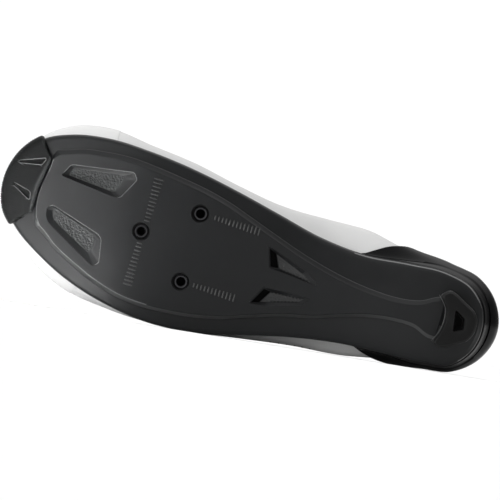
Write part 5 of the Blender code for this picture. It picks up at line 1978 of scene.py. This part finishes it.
@dataclass
class Upper:
    """The upper with its lining, binding, overlays, stitches and perforations."""

    form: ShoeForm
    skin: float = 0.0012
    overlay: float = 0.00035
    binding: float = 0.0014
    seam: Seam = Seam(start=0.0029, ahead=0.0004)

    def build(self) -> None:
        """Builds and dresses every piece of the upper."""
        self.shell()
        self.bind_edge()
        self.panels()
        self.perforations()

    def ring_solid(self, name: str, start: np.ndarray, end: np.ndarray) -> bpy.types.Object:
        """A closed wall round the shoe between two depths under the outer surface.

        Args:
            name: The piece's name.
            start: The depth of its outer face at each ring and station.
            end: The depth of its inner face.

        Returns:
            The new object.
        """
        form = self.form
        outer = form.surface - form.normals * start[..., None]
        inner = form.surface - form.normals * end[..., None]
        inner[0, :, 2] = outer[0, :, 2] = form.surface[0, :, 2]
        band = wrapped(outer, inner[[0, *range(1, len(inner) - 1, 3), len(inner) - 1]])
        return grid_piece(name, np.concatenate([band, band[:, :1]], axis=1))

    def shell(self) -> None:
        """The outer skin and the lining behind it."""
        form = self.form
        nothing = np.zeros(form.surface.shape[:2])
        skin = self.ring_solid("upper_skin", nothing, nothing + self.skin)
        smooth(skin, 40.0)
        dress(skin, MICROFIBRE, ["upper"])
        lining = self.ring_solid("upper_lining", nothing + self.skin + 0.00003, form.padding)
        smooth(lining, 40.0)
        dress(lining, LINING)

    def bind_edge(self) -> None:
        """The soft binding that is folded over the edge of the collar and throat."""
        form = self.form
        edge, normals = form.surface[-1], form.normals[-1]
        inward = unit(form.surface[-1] - form.surface[-3])
        middle = edge - normals * form.wall / 2
        turns = np.linspace(0, 2 * np.pi, 17)
        tube = []
        for turn in turns:
            reach = normals * math.cos(turn) * self.binding + inward * math.sin(turn) * self.binding * 0.9
            tube.append(middle - inward * 0.0004 + reach)
        band = np.array(tube)
        piece = grid_piece("edge_binding", np.concatenate([band, band[:, :1]], axis=1))
        smooth(piece, 60.0)
        dress(piece, OVERLAY)

    def panel(self, name: str, rings: RingPair, stations: tuple[float, float], edges: tuple[float, float]) -> None:
        """A thin overlay on the upper's surface.

        Args:
            name: The piece's name.
            rings: Gives the lower and upper ring for each place from 0 to 1 along the panel.
            stations: The first and last station.
            edges: The shares that the round edges take.
        """
        rows, columns = edge_spacing(14, edges[0]), edge_spacing(90, edges[1])
        low, high = rings(columns)
        ring = low[None, :] + (high - low)[None, :] * rows[:, None]
        station = np.broadcast_to(stations[0] + (stations[1] - stations[0]) * columns[None, :], ring.shape)
        base = self.form.at(ring, station, 0.00002)
        above = self.form.at(ring, station, 0.00102)
        piece = round_edged(name, base, (above - base) / MM, self.overlay, rows, columns, edges)
        smooth(piece, 50.0)
        dress(piece, OVERLAY)

    def span(self, x: float) -> tuple[float, float]:
        """The stations at a distance from the heel, on the outer and then on the inner side."""
        return self.form.station_at(x, False) - 1.0, self.form.station_at(x, True)

    def toe_rings(self, t: np.ndarray) -> tuple[np.ndarray, np.ndarray]:
        """The toe overlay's lower and upper ring at places from 0 to 1 along it."""
        return np.full(len(t), 0.004), 0.40 + 0.22 * np.sin(np.pi * t) ** 0.7

    def facing_rings(self, t: np.ndarray) -> tuple[np.ndarray, np.ndarray]:
        """The throat facing's lower and upper ring at places from 0 to 1 along it."""
        return 0.70 + 0.10 * np.sin(np.pi * t) ** 2, np.full(len(t), 0.985)

    def panels(self) -> None:
        """The toe overlay, the throat facing and their stitches."""
        toe, facing = self.span(0.230), self.span(0.118)
        self.panel("toe_overlay", self.toe_rings, toe, (0.03, 0.01))
        self.panel("throat_facing", self.facing_rings, facing, (0.06, 0.006))
        t = np.linspace(0.02, 0.98, 400)
        round_toe, round_throat = (start + (end - start) * t for start, end in (toe, facing))
        lines = [(self.toe_rings(t)[1] - 0.018, round_toe)]
        lines += [(self.facing_rings(t)[0] + shift, round_throat) for shift in (0.018, 0.045)]
        lines.append((np.full(len(t), 0.955), round_throat))
        sewn = []
        for rings, stations in lines:
            path = self.form.at(rings, stations, self.overlay + 0.00005)
            sewn.append((path, self.form.at(rings, stations, self.overlay + 0.00105) - path))
        self.seam.sew("panel_stitches", sewn, "upper")

    def perforations(self) -> None:
        """Punched air holes in the toe box and on the outer side of the midfoot."""
        bpy.ops.object.select_all(action="DESELECT")
        bpy.ops.mesh.primitive_cylinder_add(vertices=12, radius=0.5, depth=0.2)
        disc = bpy.context.active_object
        bevel_all(disc, 0.07, 1)
        size = Matrix.Diagonal((0.0011, 0.0011, 0.0006, 1.0))
        form, places = self.form, []
        spots = []
        for row, ring in enumerate((0.70, 0.735, 0.77, 0.805)):
            for k in range(-7 + row, 8 - row):
                spots.append((ring, 0.0125 * k + (0.006 if row % 2 else 0.0)))
        side = form.station_at(0.108, False)
        for row, ring in enumerate((0.24, 0.30, 0.36)):
            for k in range(6):
                spots.append((ring, side + 0.0055 * (k - 2.5)))
        for ring, station in spots:
            spot = form.at(np.array([ring]), np.array([station]), 0.0)[0]
            above = form.at(np.array([ring]), np.array([station]), 0.001)[0]
            ahead = form.at(np.array([ring]), np.array([station + 0.002]), 0.0)[0]
            places.append(standing(spot, ahead - spot, unit(above - spot)) @ size)
        dress(copies("perforations", disc, places), HOLE)


@dataclass
class HeelCup:
    """The polished stiff cup round the outside of the heel."""

    form: ShoeForm
    thickness: float = 0.0016
    rear_swell: float = 0.0012
    height: float = 0.060
    reach_inner: float = 0.0846
    reach_outer: float = 0.0742

    def top(self, x: np.ndarray, reach: float) -> np.ndarray:
        """Height of the cup's top edge at distances from the heel."""
        line = hermite([(a * reach, b * self.height) for a, b in CUP_TOP], np.arange(8) / 8, closed=False)
        return np.interp(x, line[:, 0], line[:, 1])

    def build(self) -> None:
        """Builds and dresses the cup."""
        form = self.form
        ends = form.station_at(self.reach_inner, True), form.station_at(self.reach_outer, False)
        columns = edge_spacing(150, 0.012)
        rows = edge_spacing(26, 0.05)
        stations = ends[0] + (ends[1] - ends[0]) * columns
        grid = np.empty((len(rows), len(columns), 3))
        ways = np.empty_like(grid)
        steps = np.linspace(0.0, 1.0, 160)
        for c, station in enumerate(stations):
            side = np.full(len(steps), station)
            column = form.at(steps, side)
            above = form.at(steps, side, 0.001)
            reach = self.reach_inner if station < 0.5 else self.reach_outer
            limits = self.top(column[:, 0], reach)
            over = np.nonzero(column[:, 2] > limits)[0]
            last = float(over[0]) if len(over) else len(steps) - 1.0
            if 0 < last < len(steps) - 1:
                rise = column[:, 2] - limits
                after = int(last)
                last -= rise[after] / (rise[after] - rise[after - 1])
            wanted = rows * max(last, 1.5)
            grid[:, c] = rows_at(wanted, np.arange(len(steps)), column)
            ways[:, c] = rows_at(wanted, np.arange(len(steps)), above - column)
        ways = unit(ways)
        low = rows[:, None, None] < 0.2
        ways = unit(np.where(low, np.maximum(ways, [-1.0, -1.0, 0.0]), ways))
        base = grid + ways * form.skin_gap
        thickness = self.thickness + self.rear_swell * np.clip((0.026 - grid[..., 0]) / 0.022, 0, 1)
        cup = round_edged("heel_cup_shell", base, ways, thickness, rows, columns, (0.05, 0.012))
        smooth(cup, 50.0)
        dress(cup, GLOSS, ["heel_cup"])


@dataclass
class Closure:
    """The tongue and the two closing straps."""

    form: ShoeForm
    tongue_thickness: float = 0.0030
    tongue_gap: float = 0.0006
    tongue_width: float = 0.046
    tongue_length: float = 0.112
    strap_thickness: float = 0.0018
    strap_width: float = 0.024
    strap_axis: float = 0.028
    seam: Seam = Seam(start=0.001, ahead=0.0006)

    def tongue(self) -> None:
        """The padded tongue, which lies under the throat and stands out above the collar."""
        form = self.form
        rows, columns = edge_spacing(64, 0.03), edge_spacing(30, 0.06)
        front = THROAT_END["x"] * form.length + 0.05 * form.length
        last = OPENING[6][0] * form.length + 0.03 * form.length
        fore, aft = THROAT_END["y"] * form.ball_width, -0.02 * form.ball_width
        grid = np.empty((len(rows), len(columns), 3))
        ways = np.empty_like(grid)
        for r, share in enumerate(rows):
            x = front - self.tongue_length * share
            middle = fore + (aft - fore) * min(1.0, (front - x) / (front - last))
            half = self.tongue_width / 2 * float(np.interp(share, *TONGUE_SHAPE))
            for c, place in enumerate(columns):
                y = middle + (2 * place - 1) * half
                hit, normal, _, _ = form.cover.ray_cast(Vector((max(x, last), y, 1.0)), Vector((0, 0, -1)))
                way = np.array(normal if normal.z > 0 else -normal)
                beyond = max(0.0, last - x) * 0.36
                grid[r, c] = (x, y, hit.z + beyond)
                ways[r, c] = way
        for _ in range(3):
            ways[1:-1] = (ways[:-2] + ways[1:-1] + ways[2:]) / 3
        ways = unit(ways)
        base = grid - ways * (form.wall + self.tongue_gap + self.tongue_thickness)
        swell = self.tongue_thickness * (0.92 + 0.16 * np.cos(np.outer(rows * 34, np.ones(len(columns)))) ** 6)
        piece = round_edged("tongue_pad", base, ways, np.minimum(swell, self.tongue_thickness), rows, columns, (0.03, 0.06))
        smooth(piece, 60.0)
        dress(piece, KNIT_CLOTH, ["tongue"])

    def strap(self, name: str, place: float, lean: float, inner_end: float, outer_end: float) -> None:
        """One closing strap with its stitched border.

        Args:
            name: The solid that it stands for.
            place: Where it crosses the throat, as a share of the length.
            lean: How much further forward its ends lie, as a share of the length.
            inner_end: Slope of its inner end in degrees from upright.
            outer_end: Slope of its outer end.
        """
        form = self.form
        rows, columns = edge_spacing(12, 0.05), edge_spacing(90, 0.015)
        angles = np.radians(inner_end - (inner_end + outer_end) * columns)
        grid = np.empty((len(rows), len(columns), 3))
        for r, share in enumerate(rows - 0.5):
            for c, angle in enumerate(angles):
                forward = lean * form.length * (angle / angles[0]) ** 2
                start = Vector((place * form.length + share * self.strap_width + forward, 0.0, self.strap_axis))
                hit = form.cover.ray_cast(start, Vector((0.0, math.sin(angle), math.cos(angle))))[0]
                grid[r, c] = hit
        for _ in range(4):
            grid[:, 1:-1] = (grid[:, :-2] + grid[:, 1:-1] + grid[:, 2:]) / 3
        ways = grid_normals(grid, UP)
        base = grid + ways * (form.skin_gap + 0.5 * form.clearance)
        piece = round_edged(f"{name}_band", base, ways, self.strap_thickness, rows, columns, (0.05, 0.015))
        smooth(piece, 50.0)
        dress(piece, MICROFIBRE, [name])
        top = base + ways * (self.strap_thickness + 0.00005)
        picked = [int(np.argmin(np.abs(rows - wanted))) for wanted in (0.10, 0.90)]
        self.seam.sew(f"{name}_stitches", [(top[r, 6:-6], ways[r, 6:-6]) for r in picked], "strap")

    def build(self) -> None:
        """Builds and dresses the tongue and both straps."""
        self.tongue()
        self.strap("strap_forefoot", 0.612, 0.035, 55.0, 62.0)
        self.strap("strap_instep", 0.496, 0.030, 54.0, 57.0)


@dataclass
class Insole:
    """The thin cupped pad on the sole's bed."""

    form: ShoeForm
    thickness: float = 0.0034

    def build(self) -> None:
        """Builds and dresses the insole."""
        form = self.form
        foot = inset(form.outline, form.rim_thickness + form.clearance + form.wall + 3 * form.clearance)
        half = len(foot) // 2
        columns = edge_spacing(24, 0.06)
        order = edge_spacing(150, 0.02) * half
        inner = rows_at(order, np.arange(half + 1), foot[: half + 1])
        other = np.vstack([foot[:1], foot[half:][::-1]])
        outer = rows_at(order, np.arange(half + 1), other)
        grid = np.empty((len(order), len(columns), 3))
        for r in range(len(order)):
            row = inner[r] + (outer[r] - inner[r]) * columns[:, None]
            grid[r] = raised(row, form.bed_over(row) + form.skin_gap)
        ways = np.broadcast_to(UP, grid.shape)
        piece = round_edged("insole_pad", grid, ways, self.thickness, order / half, columns, (0.02, 0.06))
        smooth(piece, 60.0)
        piece.data.materials.append(FOAM_CLOTH.material())
        # Faces that look down are painted near black, as painted shade.
        piece.data.materials.append(INSOLE_UNDERSIDE_SHADE.material())
        for face in piece.data.polygons:
            face.material_index = int(face.normal.z < -0.5)
        dress(piece, FOAM_CLOTH, ["insole"])


# The studio.


@dataclass
class Studio:
    """The floor, the lights and the camera."""

    frame_width: float = 0.2742
    distance: float = 6.0
    camera_floor: float = 0.010
    roll: float = 9.2
    room_light: float = 0.20
    ceiling_light: float = 1.45
    card_light: float = 1.04
    centre: tuple[float, float, float] = (0.1434, 0.0069, 0.004)
    key_place: tuple[float, float, float] = (-0.84, -0.66, 0.12)
    key_size: tuple[float, float] = (0.60, 0.20)
    key_power: float = 5.2
    strip_place: tuple[float, float, float] = (-0.15, -0.095, 0.30)
    strip_size: tuple[float, float] = (0.13, 0.03)
    strip_power: float = 0.36
    strip_spread: float = 14.0

    def build(self) -> None:
        """Sets up the stage round the shoe."""
        scene = bpy.context.scene
        scene.view_settings.view_transform = "Standard"
        self.floor()
        self.world(scene)
        target = SHOE_TO_WORLD @ Vector(self.centre)
        self.area("key", self.key_place, target, self.key_size, self.key_power)
        below = Vector((*self.strip_place[:2], 0.0))
        strip = self.area("strip", self.strip_place, below, self.strip_size, self.strip_power)
        strip.data.spread = math.radians(self.strip_spread)
        self.camera(scene, target)

    def floor(self) -> None:
        """A plain pale floor."""
        bpy.ops.object.select_all(action="DESELECT")
        bpy.ops.mesh.primitive_plane_add(size=60.0)
        floor = bpy.context.active_object
        floor.name = "studio_floor"
        made = bpy.data.materials.new("pale_floor_paint")
        made.use_nodes = True
        shader = made.node_tree.nodes["Principled BSDF"]
        shader.inputs["Base Color"].default_value = linear("#fbfbfb")
        shader.inputs["Roughness"].default_value = 0.9
        floor.data.materials.append(made)

    def world(self, scene: bpy.types.Scene) -> None:
        """A dim room with a bright ceiling and a white card behind the shoe.

        Args:
            scene: The scene that it lights.
        """
        world = bpy.data.worlds.new("white_card_room")
        scene.world = world
        world.use_nodes = True
        tree = world.node_tree
        back = tree.nodes["Background"]
        back.inputs["Color"].default_value = linear("#ffffff")
        where = add_node(tree, "ShaderNodeTexCoord", {}, {}, {})
        split = add_node(tree, "ShaderNodeSeparateXYZ", {}, {}, {0: where.outputs["Generated"]})
        strength = None
        for axis, low, high, light in (("Z", 0.35, 0.75, self.ceiling_light), ("Y", 0.90, 0.965, self.card_light)):
            share = add_node(
                tree,
                "ShaderNodeMapRange",
                {"interpolation_type": "SMOOTHSTEP"},
                {"From Min": low, "From Max": high},
                {"Value": split.outputs[axis]},
            )
            mix = add_node(
                tree,
                "ShaderNodeMix",
                {"data_type": "FLOAT"},
                {2: self.room_light, 3: light},
                {0: share.outputs["Result"]},
            )
            if strength is not None:
                tree.links.new(strength, mix.inputs[2])
            strength = mix.outputs[0]
        tree.links.new(strength, back.inputs["Strength"])

    def area(
        self, name: str, place: tuple[float, float, float], target: Vector, size: tuple[float, float], power: float
    ) -> bpy.types.Object:
        """A soft rectangular light that faces a target.

        Args:
            name: The light's name.
            place: Where it stands.
            target: Where it points.
            size: Its two sides.
            power: Its power in watts.

        Returns:
            The light.
        """
        data = bpy.data.lights.new(name, "AREA")
        data.shape, data.size, data.size_y, data.energy = "RECTANGLE", size[0], size[1], power
        light = bpy.data.objects.new(name, data)
        bpy.context.scene.collection.objects.link(light)
        light.location = place
        light.rotation_euler = (target - Vector(place)).to_track_quat("-Z", "Y").to_euler()
        return light

    def camera(self, scene: bpy.types.Scene, target: Vector) -> None:
        """The camera in front of the sole, rolled as in the photograph, just above the floor.

        Args:
            scene: The scene.
            target: The point in the middle of its view.
        """
        data = bpy.data.cameras.new("camera")
        camera = bpy.data.objects.new("camera", data)
        scene.collection.objects.link(camera)
        away = (SHOE_TO_WORLD.to_3x3() @ Vector((0.0, 0.0, -1.0))).normalized()
        drop = self.camera_floor - target.z
        level = Vector((away.x, away.y, 0.0)).normalized()
        reach = math.sqrt(self.distance**2 - drop**2)
        camera.location = target + level * reach + Vector((0.0, 0.0, drop))
        aim = (target - camera.location).to_track_quat("-Z", "Y").to_matrix()
        turn = Matrix.Rotation(math.radians(self.roll), 3, "Z")
        camera.rotation_euler = (aim @ turn).to_euler()
        data.sensor_width = 36.0
        data.lens = data.sensor_width * self.distance / self.frame_width
        data.clip_start, data.clip_end = 0.01, 50.0
        scene.camera = camera


def main() -> None:
    """Builds every piece of the shoe and the studio."""
    logging.basicConfig(level=logging.INFO, format="%(name)s: %(message)s")
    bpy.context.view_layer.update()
    form = ShoeForm()
    sole = Sole(form)
    sole.build()
    sole.inserts()
    fine = ShoeForm(steps=4 * form.steps)
    ToeGuard(fine, Sole(fine, cap=4 * sole.cap)).build()
    HeelPad(form).build()
    Upper(form).build()
    HeelCup(form).build()
    Closure(form).build()
    Insole(form).build()
    Studio().build()


if __name__ == "__main__":
    main()
